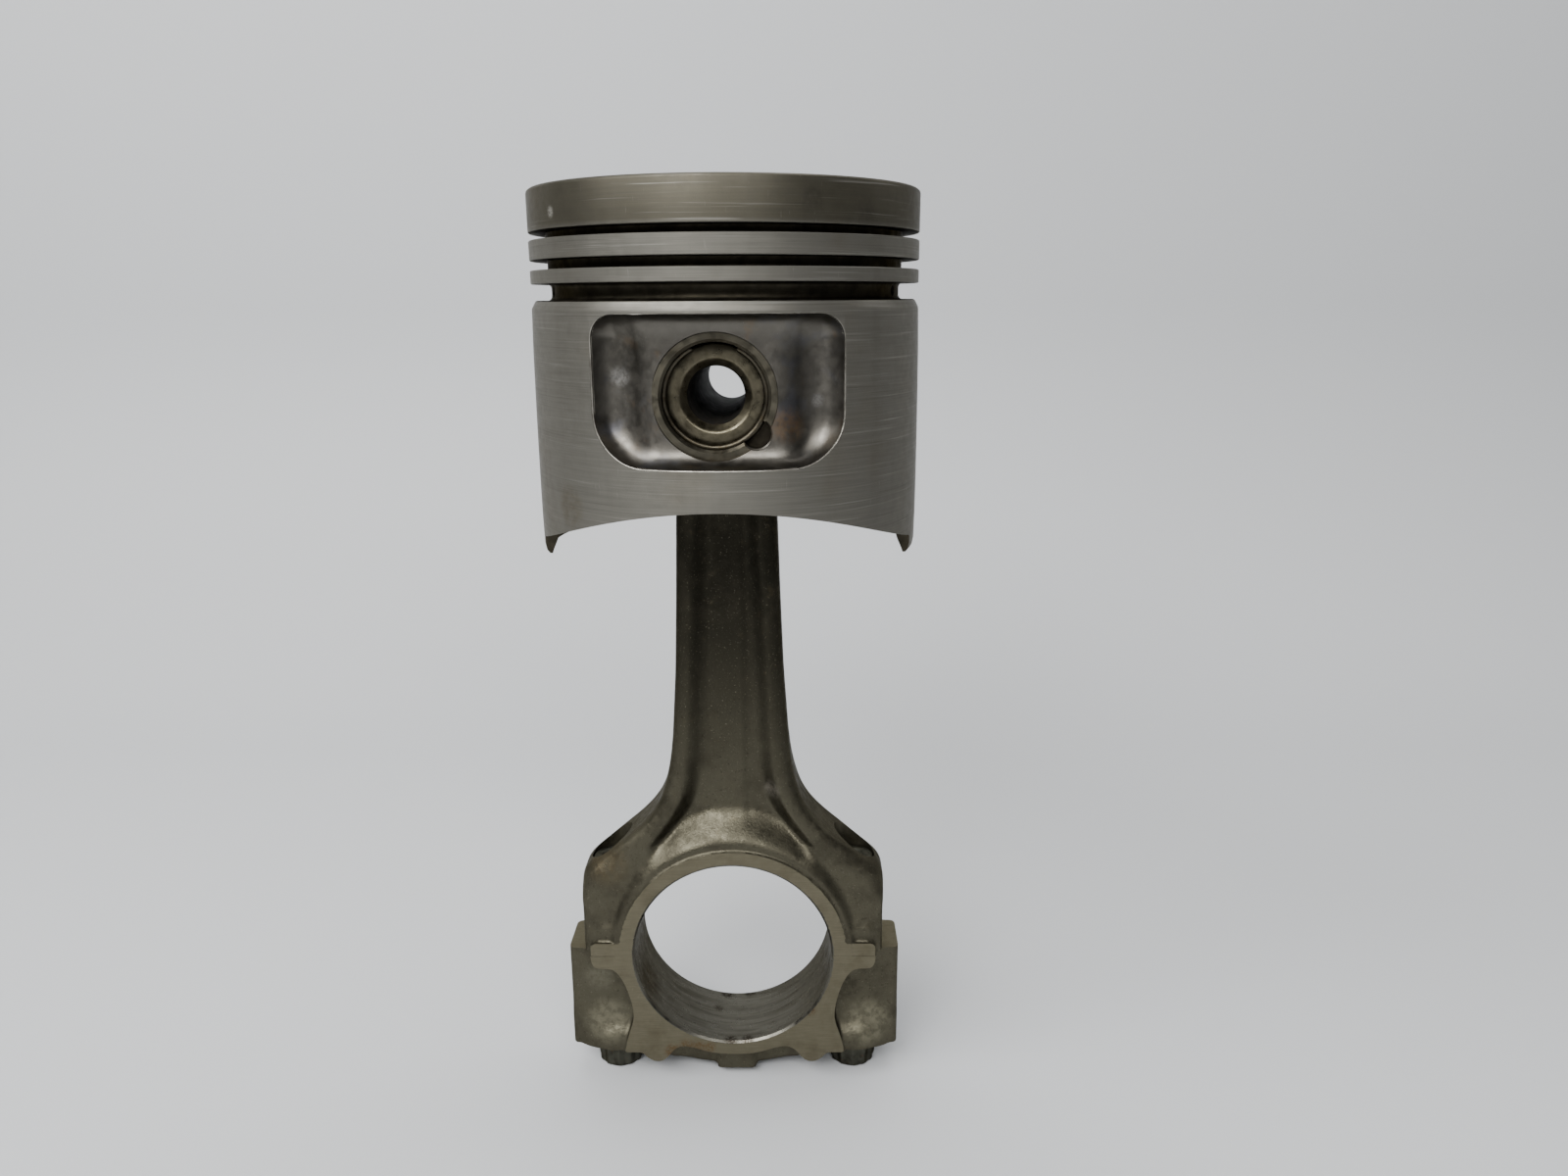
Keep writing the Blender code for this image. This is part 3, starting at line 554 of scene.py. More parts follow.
def piston_blank():
    """The turned outside of the piston, still solid."""
    profile = [(0.0, CROWN_Z), (LAND_R - 0.6, CROWN_Z), (LAND_R - 0.15, CROWN_Z - 0.35),
               (LAND_R, CROWN_Z - 0.8)]
    for top, bottom, floor in GROOVES[:2]:
        profile += groove_profile(top, bottom, floor)
        profile += [(LAND_R - 0.15, bottom), (LAND_R, bottom - 0.15)]
    top, bottom, floor = GROOVES[2]
    profile += groove_profile(top, bottom, floor, 1.0)
    profile += [(LAND_R - 1.2, bottom), (LAND_R - 0.8, bottom - 0.2), (LAND_R, 17.6),
                (LAND_R + 0.06, 17.1), (LAND_R + 0.27, 8.0), (LAND_R + 0.35, -2.0),
                (SKIRT_R, -12.0), (SKIRT_R, -22.0), (SKIRT_R - 0.06, -30.0),
                (SKIRT_R - 0.2, -36.0), (SKIRT_R - 0.45, SKIRT_BOTTOM_Z + 0.7),
                (SKIRT_R - 1.0, SKIRT_BOTTOM_Z), (0.0, SKIRT_BOTTOM_Z)]
    return turned_mesh("piston", profile, 288)


def groove_profile(top, bottom, floor, corner=0.25):
    """One ring groove down to its floor, with rounded corners."""
    upper = arc(floor + corner, top - corner, corner, 90.0, 180.0, 4)
    lower = arc(floor + corner, bottom + corner, corner, 180.0, 270.0, 4)
    return [(LAND_R, top + 0.15), (LAND_R - 0.15, top)] + upper + lower


def pocket_outline(x, z):
    """Signed distance to the outline of the side pocket: tight corners above, wide below."""
    middle = (POCKET_TOP_Z + POCKET_BOTTOM_Z) / 2.0
    half = (POCKET_TOP_Z - POCKET_BOTTOM_Z) / 2.0
    corner = TOP_CORNER + (BOTTOM_CORNER - TOP_CORNER) * ramp(z, 8.0, -2.0)
    return box_distance(x, z - middle, POCKET_HALF, half, corner)


def side_pocket(x, y, z):
    """Space of the cast pocket round the pin boss at the front."""
    outline = pocket_outline(x, z)
    scoop = 5.0 + 4.0 * ramp(np.abs(x), 11.0, 21.0)
    deep = np.sqrt(SKIRT_R ** 2 - np.minimum(x * x, 900.0)) - POCKET_FLOOR
    give = np.maximum(np.sqrt(scoop) - np.sqrt(deep), 0.0) ** 2
    space = smooth_max(outline - give, POCKET_FLOOR + y, scoop)
    flank = (np.abs(x - PIN_X - 0.5) - BOSS_HALF - 0.7 * (BOSS_FACE + y)) / 1.22
    island = smooth_max(flank, -y - BOSS_FACE, 2.6)
    space = smooth_max(space, -island, 5.5)
    return np.maximum(space, -46.0 - y)


def pocket_rim(side):
    """Cutter along the rim of the pocket, a thin round tube that breaks its sharp edge."""
    half = arc(POCKET_HALF - BOTTOM_CORNER, POCKET_BOTTOM_Z + BOTTOM_CORNER, BOTTOM_CORNER,
               -90.0, 0.0, 16)
    half += [(POCKET_HALF, z) for z in (0.0, 3.0, 6.0, 9.0)]
    half += arc(POCKET_HALF - TOP_CORNER, POCKET_TOP_Z - TOP_CORNER, TOP_CORNER, 0.0, 90.0, 10)
    half += [(x, POCKET_TOP_Z) for x in (18.0, 14.0, 10.0, 6.0, 2.0)]
    loop = half + [(-x, z) for x, z in reversed(half)]
    loop += [(x, POCKET_BOTTOM_Z) for x in (-12.0, -8.0, -4.0, 0.0, 4.0, 8.0, 12.0)]
    centre = np.array([(x, side * math.sqrt((SKIRT_R - 0.12) ** 2 - x * x), z) for x, z in loop])
    ahead = np.roll(centre, -1, axis=0) - np.roll(centre, 1, axis=0)
    ahead /= np.linalg.norm(ahead, axis=1, keepdims=True)
    out = centre * (1.0, 1.0, 0.0)
    out /= np.linalg.norm(out, axis=1, keepdims=True)
    across = np.cross(ahead, out)
    sides = 8
    points = [centre + RIM_R * (math.cos(a) * out + math.sin(a) * across)
              for a in np.arange(sides) * 2.0 * math.pi / sides]
    return whole_mesh("rim", np.concatenate(points), tube_faces(sides, len(centre)))


def piston_inside(x, y, z):
    """Space under the crown, round the pin bosses and behind the pockets."""
    radius = np.hypot(x, y)
    wall = 35.4 + 5.2 * ramp(z, 20.0, 6.0) + 1.1 * ramp(z, 8.0, -20.0)
    wall = wall + 1.7 * ramp(z, -33.0, -39.0)
    space = smooth_max(radius - wall, z - CROWN_UNDERSIDE_Z, 7.0)
    reach = np.abs(y)
    boss = smooth_max(np.hypot(x - PIN_X, z) - 16.5, 14.0 - reach, 1.5)
    strut = smooth_max(np.abs(x - PIN_X) - 12.0, 15.2 - reach, 3.0)
    strut = np.maximum(strut, -z)
    panel = box_distance(x, z - 3.9, 29.6, 21.7, 9.0)
    panel = smooth_max(panel, 29.0 - reach, 2.0)
    metal = smooth_min(smooth_min(boss, strut, 4.0), panel, 5.0)
    return np.maximum(smooth_max(space, -metal, 4.0), -52.0 - z)


def pin_bore():
    """Cutter for the pin bore with its circlip grooves, mouths and spot faces."""
    r = PIN_BORE_R
    low, high = CLIP_GROOVE
    half = [(0.0, OUTSIDE), (SPOT_FACE_R + 0.15, OUTSIDE), (SPOT_FACE_R + 0.15, SPOT_FACE + 0.3),
            (SPOT_FACE_R, SPOT_FACE), (r + 0.6, SPOT_FACE), (r, SPOT_FACE - 0.6),
            (r, high), (r + 0.8, high), (r + 0.8, low), (r, low)]
    return moved(along_y(turned_mesh("bore", both_ends(half), 160)), x=PIN_X)


# the pull-out notch beside the pin bore: its place and its turned outline
NOTCH_X = PIN_X + 11.4 * math.cos(math.radians(-42.0))
NOTCH_Z = 11.4 * math.sin(math.radians(-42.0))
NOTCH_R = 3.1
NOTCH = ((0.0, OUTSIDE), (NOTCH_R + 0.3, OUTSIDE), (NOTCH_R + 0.3, SPOT_FACE),
         (NOTCH_R, SPOT_FACE - 0.3), (NOTCH_R, 34.1), (0.0, 34.1))


def arch(side):
    """Cutter for the counterweight clearance at the front or rear of the skirt."""
    corner = arc(ARCH_R - ARCH_EDGE, TONGUE_HALF + ARCH_EDGE, ARCH_EDGE, -90.0, 0.0, 6)
    profile = [(0.0, TONGUE_HALF)] + corner + [(ARCH_R, 60.0), (0.0, 60.0)]
    mesh = facing(along_y(turned_mesh("arch", profile, 480)), side)
    return moved(mesh, z=ARCH_TOP_Z - ARCH_R)


def flipped(mesh):
    """Mirror a mesh front to back."""
    copy = mesh.copy()
    copy.transform(Matrix.Diagonal((1.0, -1.0, 1.0, 1.0)))
    copy.flip_normals()
    return copy


def build_piston():
    piston = new_piece("used_piston", piston_blank())
    inside = field_mesh("inside", piston_inside, (-44.5, -44.5, -53.0), (44.5, 44.5, 36.0), 0.9)
    carve(piston, inside)
    pocket = field_mesh("pocket", side_pocket, (-31.0, -46.5, -18.5), (31.0, -29.0, 21.0), 0.33)
    other = flipped(pocket)
    carve(piston, pocket)
    carve(piston, other)
    carve(piston, pin_bore())
    for side in (-1.0, 1.0):
        notch = facing(along_y(turned_mesh("notch", NOTCH, 48)), side)
        carve(piston, moved(notch, NOTCH_X, 0.0, NOTCH_Z))
        carve(piston, pocket_rim(side))
        carve(piston, arch(side))
        for degrees in DRAIN_ANGLES:
            drain = bar(DRAIN_R, 32.0, GROOVES[2][2] + 1.5, 24)
            drain.transform(Matrix.Rotation(side * math.pi / 2.0, 4, 'Y'))
            drain.transform(Matrix.Rotation(math.radians(degrees), 4, 'Z'))
            carve(piston, moved(drain, z=(GROOVES[2][0] + GROOVES[2][1]) / 2.0))
    return in_place(piston, "piston", "piston", 0.0, PIN_Z, 32.0)


# ---- small pieces

def build_pin():
    """Hollow gudgeon pin with tapered mouths and rounded rims."""
    half = PIN_HIGH.y
    r = (PIN_HIGH.z - PIN_LOW.z) / 2.0
    rim = [(6.0, half - 2.4), (6.2, half - 1.6), (7.35, half - 0.4), (7.7, half - 0.08),
           (8.0, half), (r - 0.9, half), (r - 0.35, half - 0.12), (r - 0.08, half - 0.45),
           (r, half - 1.0)]
    mesh = turned_mesh("pin", both_ends(rim), 144, closed=True)
    pin = new_piece("hollow_pin", along_y(mesh))
    return in_place(pin, "pin", "gudgeon_pin", PIN_X, PIN_Z, 28.0)


def build_bush():
    """Thin bush pressed into the small end, flush with its faces."""
    half = BUSH_HIGH.y
    outer = (BUSH_HIGH.z - BUSH_LOW.z) / 2.0
    rim = [(PIN_BORE_R, half - 0.5), (PIN_BORE_R + 0.5, half), (outer - 0.3, half),
           (outer, half - 0.3)]
    mesh = turned_mesh("bush", both_ends(rim), 128, closed=True)
    bush = new_piece("bronze_bush", along_y(mesh))
    return in_place(bush, "rod", "small_end_bush", PIN_X, PIN_Z)


def wire_mesh(name, radius, wire, start, end, steps, sides):
    """Round wire bent to part of a circle about Y, with rounded ends."""
    rows = []
    cap = [(math.cos(a), -math.sin(a)) for a in np.linspace(math.pi / 2.0, 0.0, 5)[1:]]
    turns = np.radians(np.linspace(start, end, steps + 1))
    plan = [(turns[0], share, lead) for share, lead in cap[:-1]]
    plan += [(turn, 1.0, 0.0) for turn in turns]
    plan += [(turns[-1], share, -lead) for share, lead in reversed(cap[:-1])]
    for turn, share, lead in plan:
        out = np.array((math.cos(turn), 0.0, math.sin(turn)))
        ahead = np.array((-math.sin(turn), 0.0, math.cos(turn)))
        centre = out * radius + ahead * lead * wire
        for i in range(sides):
            a = 2.0 * math.pi * i / sides
            offset = out * math.cos(a) + np.array((0.0, 1.0, 0.0)) * math.sin(a)
            rows.append(centre + offset * wire * share)
    faces = tube_faces(len(plan), sides, closed=False)
    faces.append(tuple(reversed(range(sides))))
    faces.append(tuple((len(plan) - 1) * sides + i for i in range(sides)))
    return whole_mesh(name, rows, faces)


def build_circlips():
    """Two sprung wire rings with their openings at the top."""
    clips = []
    wire = (CLIP_HIGH.y - CLIP_LOW.y) / 2.0
    middle = (CLIP_HIGH.y + CLIP_LOW.y) / 2.0
    for label, side in (("front", -1.0), ("rear", 1.0)):
        mesh = wire_mesh("wire_" + label, 10.8, wire, 118.0, 422.0, 120, 14)
        clip = new_piece("wire_clip_" + label, moved(mesh, y=side * middle))
        clips.append(in_place(clip, "piston", "circlip_" + label, PIN_X, PIN_Z, 60.0))
    return clips


def shaped_mesh(name, rows, steps, shape):
    """Like a closed turned mesh, with each row's radius bent by shape(radius, z, angle)."""
    angles = np.arange(steps) * 2.0 * math.pi / steps
    points = []
    for r, z in rows:
        points.extend((shape(r, z, a) * math.cos(a), shape(r, z, a) * math.sin(a), z)
                      for a in angles)
    return whole_mesh(name, points, tube_faces(len(rows), steps))


def star(angle, point, root):
    """Radius of a twelve-pointed outline with straight sides."""
    step = math.pi / 12.0
    t = abs((angle % (2.0 * step)) - step)
    t = step - t
    return point * root * math.sin(step) / (point * math.sin(t) + root * math.sin(step - t))


def build_nuts():
    """Twelve-point nuts that stand on a thin round collar."""
    low, high = NUT_LOW.z - BIG_END_Z, NUT_HIGH.z - BIG_END_Z
    tip = (NUT_HIGH.x - NUT_LOW.x) / 2.0
    rows = [(4.75, high - 0.5), (5.2, high), (tip - 0.15, high), (tip, high - 0.15),
            (tip, high - 0.9), (tip - 0.25, high - 1.15), (tip - 0.02, high - 1.7),
            (tip, low + 0.9), (tip - 0.25, low + 0.45), (tip - 0.75, low + 0.08),
            (tip - 1.1, low), (5.2, low), (4.75, low + 0.5)]

    def shape(r, z, angle):
        if z > high - 1.2 or r < 5.3:
            return r
        return min(r, star(angle, tip, tip - 0.62))

    nuts = []
    for label, side in (("left", -1.0), ("right", 1.0)):
        mesh = moved(shaped_mesh("nut_" + label, rows, 144, shape), x=side * BOLT_X)
        nut = new_piece("twelve_point_nut_" + label, mesh)
        nuts.append(in_place(nut, "rod", "rod_nut_" + label))
    return nuts


def build_bolts():
    """Big-end bolts: a head with one flat, a plain shank and a rolled thread."""
    low, high = BOLT_LOW.z - BIG_END_Z, BOLT_HIGH.z - BIG_END_Z
    seat = HEAD_SEAT_Z + 0.3
    pitch = 1.0
    rows = [(0.02, high - 0.25), (2.2, high - 0.25), (2.6, high), (4.3, high), (4.8, high - 0.25),
            (5.0, high - 0.7), (5.05, high - 1.0), (5.05, seat + 0.3), (4.8, seat), (4.7, seat),
            (4.4, seat - 0.3)]
    rows += [(4.4, z) for z in np.linspace(16.0, -10.0, 3)]
    rows += [(4.4, z) for z in np.arange(-12.0, low + 0.7, -pitch / 8.0)]
    rows += [(4.0, low + 0.35), (3.6, low), (0.02, low)]

    def shape(r, z, angle):
        if r == 4.4 and low + 0.7 < z < -12.0:
            wave = (z / pitch - angle / (2.0 * math.pi)) % 1.0
            return r - 0.55 * (1.0 - abs(2.0 * wave - 1.0)) * ramp(-z, 12.0, 14.0)
        return r

    bolts = []
    for label, side in (("left", -1.0), ("right", 1.0)):
        mesh = moved(shaped_mesh("bolt_" + label, rows, 72, shape), x=side * BOLT_X)
        bolt = new_piece("fitted_bolt_" + label, mesh)
        near = side * (BOLT_X - 4.1)
        low_x, high_x = sorted((near, near - side * 6.0))
        carve(bolt, block((low_x, -12.0, seat), (high_x, 12.0, high + 5.0)))
        bolts.append(in_place(bolt, "rod", "rod_bolt_" + label))
    return bolts


# ---- surfaces

ROUND_Z = (0.015, 0.015, 1.0)    # thin marks that run round the piston
ALONG_Z = (1.0, 1.0, 0.03)       # marks that run up and down
PIN_CENTRE = (PIN_X, PIN_Z)
BIG_END_CENTRE = (PIN_X, BIG_END_Z)


def tone(red, green, blue):
    """A colour given in display values from 0 to 255."""
    def linear(value):
        value /= 255.0
        return value / 12.92 if value <= 0.04045 else ((value + 0.055) / 1.055) ** 2.4
    return (linear(red), linear(green), linear(blue), 1.0)


class Surface:
    """A node material whose marks keep their place and size on the piece."""

    def __init__(self, name, metallic):
        self.material = bpy.data.materials.new(name)
        self.material.use_nodes = True
        self.tree = self.material.node_tree
        self.shader = self.tree.nodes["Principled BSDF"]
        self.shader.inputs["Metallic"].default_value = metallic
        self.shader.inputs["Specular Tint"].default_value = (0.42, 0.41, 0.39, 1.0)
        self.place = self.add("ShaderNodeTexCoord").outputs["Object"]
        self.seed = 0.0

    def add(self, kind, **settings):
        node = self.tree.nodes.new(kind)
        for key, value in settings.items():
            setattr(node, key, value)
        return node

    def put(self, socket, value):
        if isinstance(value, bpy.types.NodeSocket):
            self.tree.links.new(value, socket)
        else:
            socket.default_value = value

    def maths(self, operation, *values):
        node = self.add("ShaderNodeMath", operation=operation)
        for socket, value in zip(node.inputs, values):
            self.put(socket, value)
        return node.outputs["Value"]

    def level(self, value, low, high, to_low=0.0, to_high=1.0):
        node = self.add("ShaderNodeMapRange", interpolation_type='SMOOTHSTEP')
        for socket, entry in zip(node.inputs, (value, low, high, to_low, to_high)):
            self.put(socket, entry)
        return node.outputs["Result"]

    def blend(self, share, one, two):
        node = self.add("ShaderNodeMix", data_type='RGBA')
        self.put(node.inputs[0], share)
        self.put(node.inputs[6], one)
        self.put(node.inputs[7], two)
        return node.outputs[2]

    def noise(self, size, stretch=(1.0, 1.0, 1.0), detail=3.0, place=None):
        """Noise with marks of about one size in millimetres."""
        self.seed += 3.7
        node = self.add("ShaderNodeMapping")
        self.put(node.inputs["Vector"], place or self.place)
        node.inputs["Scale"].default_value = [share / (size * MM) for share in stretch]
        node.inputs["Location"].default_value = (self.seed, -self.seed, 2.0 * self.seed)
        noise = self.add("ShaderNodeTexNoise")
        self.put(noise.inputs["Vector"], node.outputs["Vector"])
        noise.inputs["Scale"].default_value = 1.0
        noise.inputs["Detail"].default_value = detail
        noise.inputs["Roughness"].default_value = 0.6
        return noise.outputs["Fac"]

    def axes(self):
        node = self.add("ShaderNodeSeparateXYZ")
        self.put(node.inputs[0], self.place)
        return node.outputs

    def polar(self, centre):
        """Place on the piece as (distance from an axis along Y, reach along it, 0)."""
        x, y, z = self.axes()
        across = self.maths('SUBTRACT', x, centre[0] * MM)
        up = self.maths('SUBTRACT', z, centre[1] * MM)
        square = self.maths('ADD', self.maths('MULTIPLY', across, across),
                            self.maths('MULTIPLY', up, up))
        node = self.add("ShaderNodeCombineXYZ")
        self.put(node.inputs[0], self.maths('SQRT', square))
        self.put(node.inputs[1], y)
        return node.outputs["Vector"]

    def near(self, spot, radius):
        """1 round a spot given in millimetres, fading to 0 at the radius."""
        node = self.add("ShaderNodeVectorMath", operation='DISTANCE')
        self.put(node.inputs[0], self.place)
        node.inputs[1].default_value = [value * MM for value in spot]
        return self.level(node.outputs["Value"], radius * MM, 0.35 * radius * MM)


def metal(name, colour, roughness, marks=(), spots=(), grain=(0.3, 0.01), lines=None,
          stain_and_shade_fade=None, metallic=1.0, spread=0.1, brushed=None):
    """Worn metal: marks of noise are (tone, size, low, high, amount) and maybe a stretch,
    spots are (tone, place, radius, amount), stains, and on some pieces painted highlights and
    painted shade, grain is (size, depth), lines are (size, depth, stretch, axis),
    stain_and_shade_fade is (tone, low, high), a tone taken on with height (a stain on the top
    land, painted shade on the rod) and brushed is the axis machining runs round."""
    surface = Surface(name, metallic)
    base = tone(*colour)
    if stain_and_shade_fade:
        share = surface.level(surface.axes()[2], stain_and_shade_fade[1] * MM, stain_and_shade_fade[2] * MM)
        base = surface.blend(share, base, tone(*stain_and_shade_fade[0]))
    for tint, size, low, high, amount, *stretch in marks:
        share = surface.level(surface.noise(size, *stretch), low, high, 0.0, amount)
        base = surface.blend(share, base, tone(*tint))
    for tint, place, radius, amount in spots:
        ragged = surface.level(surface.noise(radius * 0.25), 0.35, 0.6, 0.15, amount)
        share = surface.maths('MULTIPLY', surface.near(place, radius), ragged)
        base = surface.blend(share, base, tone(*tint))
    height = surface.maths('MULTIPLY', surface.noise(grain[0]), grain[1] * MM)
    if lines:
        size, depth, stretch, centre = lines
        place = surface.polar(centre) if centre else None
        line = surface.noise(size, stretch, 2.0, place)
        height = surface.maths('ADD', height, surface.maths('MULTIPLY', line, depth * MM))
        streak = surface.level(line, 0.25, 0.75, 0.0, 0.22)
        base = surface.blend(streak, base, tone(*[0.55 * value for value in colour]))
    surface.put(surface.shader.inputs["Base Color"], base)
    worn = surface.noise(2.2, detail=4.0)
    surface.put(surface.shader.inputs["Roughness"],
                surface.level(worn, 0.3, 0.7, roughness - spread, roughness + spread))
    if brushed:
        around = surface.add("ShaderNodeTangent", direction_type='RADIAL', axis=brushed)
        surface.put(surface.shader.inputs["Tangent"], around.outputs["Tangent"])
        surface.shader.inputs["Anisotropic"].default_value = 0.5
        surface.shader.inputs["Anisotropic Rotation"].default_value = 0.25
    bump = surface.add("ShaderNodeBump")
    bump.inputs["Distance"].default_value = 1.0
    surface.put(bump.inputs["Height"], height)
    surface.put(surface.shader.inputs["Normal"], bump.outputs["Normal"])
    return surface.material


def dress(piece, looks, choose=None, centre=(0.0, 0.0, 0.0)):
    """Give a piece its materials; choose picks one for each face from (place, normal)."""
    mesh = piece.data
    mesh.materials.clear()
    for look in looks:
        mesh.materials.append(look)
    if choose:
        place, normal = np.empty((2, len(mesh.polygons), 3), np.float32)
        mesh.polygons.foreach_get("center", place.ravel())
        mesh.polygons.foreach_get("normal", normal.ravel())
        zone = choose(place / MM - np.array(centre), normal)
        mesh.polygons.foreach_set("material_index", zone.astype(np.int32))
        mesh.update()


TURNED = metal(
    "turned_aluminium", (108, 106, 99), 0.45,
    marks=(((96, 86, 67), 22.0, 0.5, 0.8, 0.25),
           ((148, 146, 140), 0.5, 0.66, 0.82, 0.35, (1.0, 1.0, 0.12)),
           ((84, 81, 75), 6.0, 0.48, 0.8, 0.15, ALONG_Z),
           ((72, 69, 62), 0.55, 0.54, 0.78, 0.4, ROUND_Z),
           ((156, 154, 147), 0.5, 0.56, 0.8, 0.6, ROUND_Z)),
    spots=(((64, 61, 54), (19.5, -41.0, PIN_Z + 38.5), 3.6, 0.5),
           ((64, 61, 54), (31.0, -33.0, PIN_Z + 36.5), 3.6, 0.5),
           ((160, 157, 148), (-34.5, -28.5, PIN_Z + 37.0), 1.6, 0.8),
           ((84, 74, 54), (-33.0, -30.5, PIN_Z - 24.0), 6.0, 0.4)),
    lines=(0.32, 0.009, ROUND_Z, None), stain_and_shade_fade=((76, 73, 63), PIN_Z + 33.0, PIN_Z + 35.0),
    metallic=0.7, brushed='Z', spread=0.04)
CROWN = metal(
    "stained_crown", (120, 114, 102), 0.5,
    marks=(((64, 58, 50), 11.0, 0.42, 0.68, 0.75),
           ((44, 40, 36), 2.2, 0.55, 0.75, 0.6),
           ((165, 160, 150), 0.7, 0.62, 0.8, 0.5)),
    grain=(0.5, 0.02), spread=0.14)
# dark look of the ring grooves; also painted shade in the pin notches and on the tongues' inner
# faces
GROOVE_AND_SHADE = metal(
    "ring_groove_and_shade", (66, 62, 52), 0.5,
    marks=(((46, 42, 36), 5.0, 0.4, 0.7, 0.8),),
    lines=(0.2, 0.006, ROUND_Z, None))
POCKET = metal(
    "cast_skin", (96, 93, 87), 0.4,
    marks=(((84, 88, 102), 9.0, 0.52, 0.76, 0.45),
           ((116, 96, 74), 6.0, 0.6, 0.8, 0.45),
           ((72, 69, 62), 5.0, 0.5, 0.8, 0.45),
           ((170, 168, 165), 0.4, 0.66, 0.8, 0.4)),
    # painted highlights: two pale spots in the pocket's wells
    spots=(((170, 168, 164), (-20.5, -34.0, PIN_Z + 4.0), 2.8, 0.5),
           ((156, 154, 152), (20.5, -34.0, PIN_Z - 1.0), 1.9, 0.4),
           # painted shade: dark patch in the upper left of the pocket
           ((58, 56, 50), (-17.5, -34.0, PIN_Z + 10.0), 8.0, 0.45),
           ((136, 108, 78), (14.0, -36.0, PIN_Z - 6.0), 5.0, 0.5)),
    grain=(0.28, 0.014), spread=0.06)
EDGE = metal(
    "worn_edge", (148, 145, 137), 0.34,
    marks=(((96, 92, 85), 4.0, 0.4, 0.65, 0.8),), metallic=0.75)
CAST = metal(
    "cast_inside", (104, 101, 93), 0.52,
    marks=(((84, 74, 54), 12.0, 0.42, 0.72, 0.7),
           ((60, 54, 44), 4.0, 0.52, 0.78, 0.6)),
    grain=(0.7, 0.06))
BORED = metal(
    "bored_aluminium", (98, 94, 82), 0.38,
    marks=(((92, 84, 68), 5.0, 0.48, 0.76, 0.5),),
    lines=(0.12, 0.005, (1.0, 0.02, 1.0), PIN_CENTRE))
FORGED = metal(
    "forged_steel", (79, 76, 64), 0.44,
    marks=(((56, 53, 44), 10.0, 0.42, 0.72, 0.6),
           ((126, 121, 105), 0.45, 0.6, 0.78, 0.55),
           ((42, 39, 31), 0.8, 0.58, 0.76, 0.6),
           ((84, 76, 58), 3.5, 0.6, 0.8, 0.25)),
    spots=(((150, 144, 132), (10.6, -5.0, BIG_END_Z + 45.0), 3.6, 0.6),
           ((98, 86, 62), (-33.0, -6.0, BIG_END_Z + 25.0), 8.0, 0.35),
           # painted highlights: these three pale patches, on the nut collars' flares and on the
           # cap's lit left side
           ((138, 134, 114), (-34.5, -9.0, BIG_END_Z - 21.0), 8.0, 0.45),
           ((112, 110, 95), (-37.0, -8.5, BIG_END_Z - 8.0), 5.5, 0.4),
           ((142, 138, 117), (35.0, -9.0, BIG_END_Z - 21.5), 8.0, 0.5),
           # painted shade: dark patch on the step beside the cap's thrust face, on the side away
           # from the light
           ((38, 35, 28), (29.0, -8.5, BIG_END_Z - 11.0), 5.5, 0.5)),
    # the rod darkens towards its top: painted shadow of the piston over the web
    grain=(0.55, 0.075), metallic=0.9, stain_and_shade_fade=((41, 39, 32), BIG_END_Z + 30.0, BIG_END_Z + 96.0))
GROUND = metal(
    "ground_steel", (108, 103, 86), 0.4,
    marks=(((88, 82, 66), 7.0, 0.48, 0.76, 0.5),
           ((130, 125, 109), 0.6, 0.62, 0.82, 0.4, (1.0, 1.0, 0.25))),
    spots=(((96, 74, 48), (PIN_X - 16.5, -11.0, BIG_END_Z - 28.8), 3.0, 0.8),
           ((98, 78, 52), (PIN_X - 12.8, -11.0, BIG_END_Z - 26.9), 2.6, 0.7),
           ((98, 78, 52), (PIN_X - 9.6, -11.0, BIG_END_Z - 27.2), 2.4, 0.7),
           ((98, 78, 52), (PIN_X - 6.6, -11.0, BIG_END_Z - 27.4), 2.2, 0.7),
           ((84, 62, 42), (PIN_X + 20.0, -11.0, BIG_END_Z - 16.0), 2.4, 0.9)),
    lines=(0.22, 0.004, (0.05, 1.0, 1.0), None))
BORE = metal(
    "bearing_bore", (98, 96, 88), 0.34,
    marks=(((64, 61, 53), 1.3, 0.42, 0.72, 0.6, (0.1, 1.0, 0.1)),
           ((132, 130, 122), 0.7, 0.6, 0.8, 0.5, (0.06, 1.0, 0.06)),
           ((58, 48, 36), 2.6, 0.68, 0.82, 0.4, (0.3, 2.0, 0.3))),
    spots=(((34, 30, 25), (PIN_X - 3.0, 10.0, BIG_END_Z - 25.4), 2.6, 0.9),
           ((34, 30, 25), (PIN_X + 3.5, 10.3, BIG_END_Z - 25.4), 2.2, 0.9),
           ((44, 38, 30), (PIN_X - 5.0, 3.0, BIG_END_Z - 25.2), 1.8, 0.8),
           ((36, 30, 24), (PIN_X - 1.0, -10.2, BIG_END_Z - 25.8), 2.4, 0.9),
           ((36, 30, 24), (PIN_X + 3.4, -10.2, BIG_END_Z - 25.6), 2.2, 0.9),
           # painted shade: darker patch on the left wall of the bearing bore
           ((54, 46, 36), (PIN_X - 23.0, -4.0, BIG_END_Z - 11.0), 7.0, 0.6)),
    lines=(0.18, 0.002, (0.1, 1.0, 1.0), BIG_END_CENTRE), brushed='Y')
PIN_STEEL = metal(
    "pin_steel", (96, 91, 76), 0.36,
    marks=(((66, 61, 48), 3.0, 0.45, 0.72, 0.6),
           ((150, 144, 128), 0.4, 0.62, 0.8, 0.6)),
    grain=(0.35, 0.035))
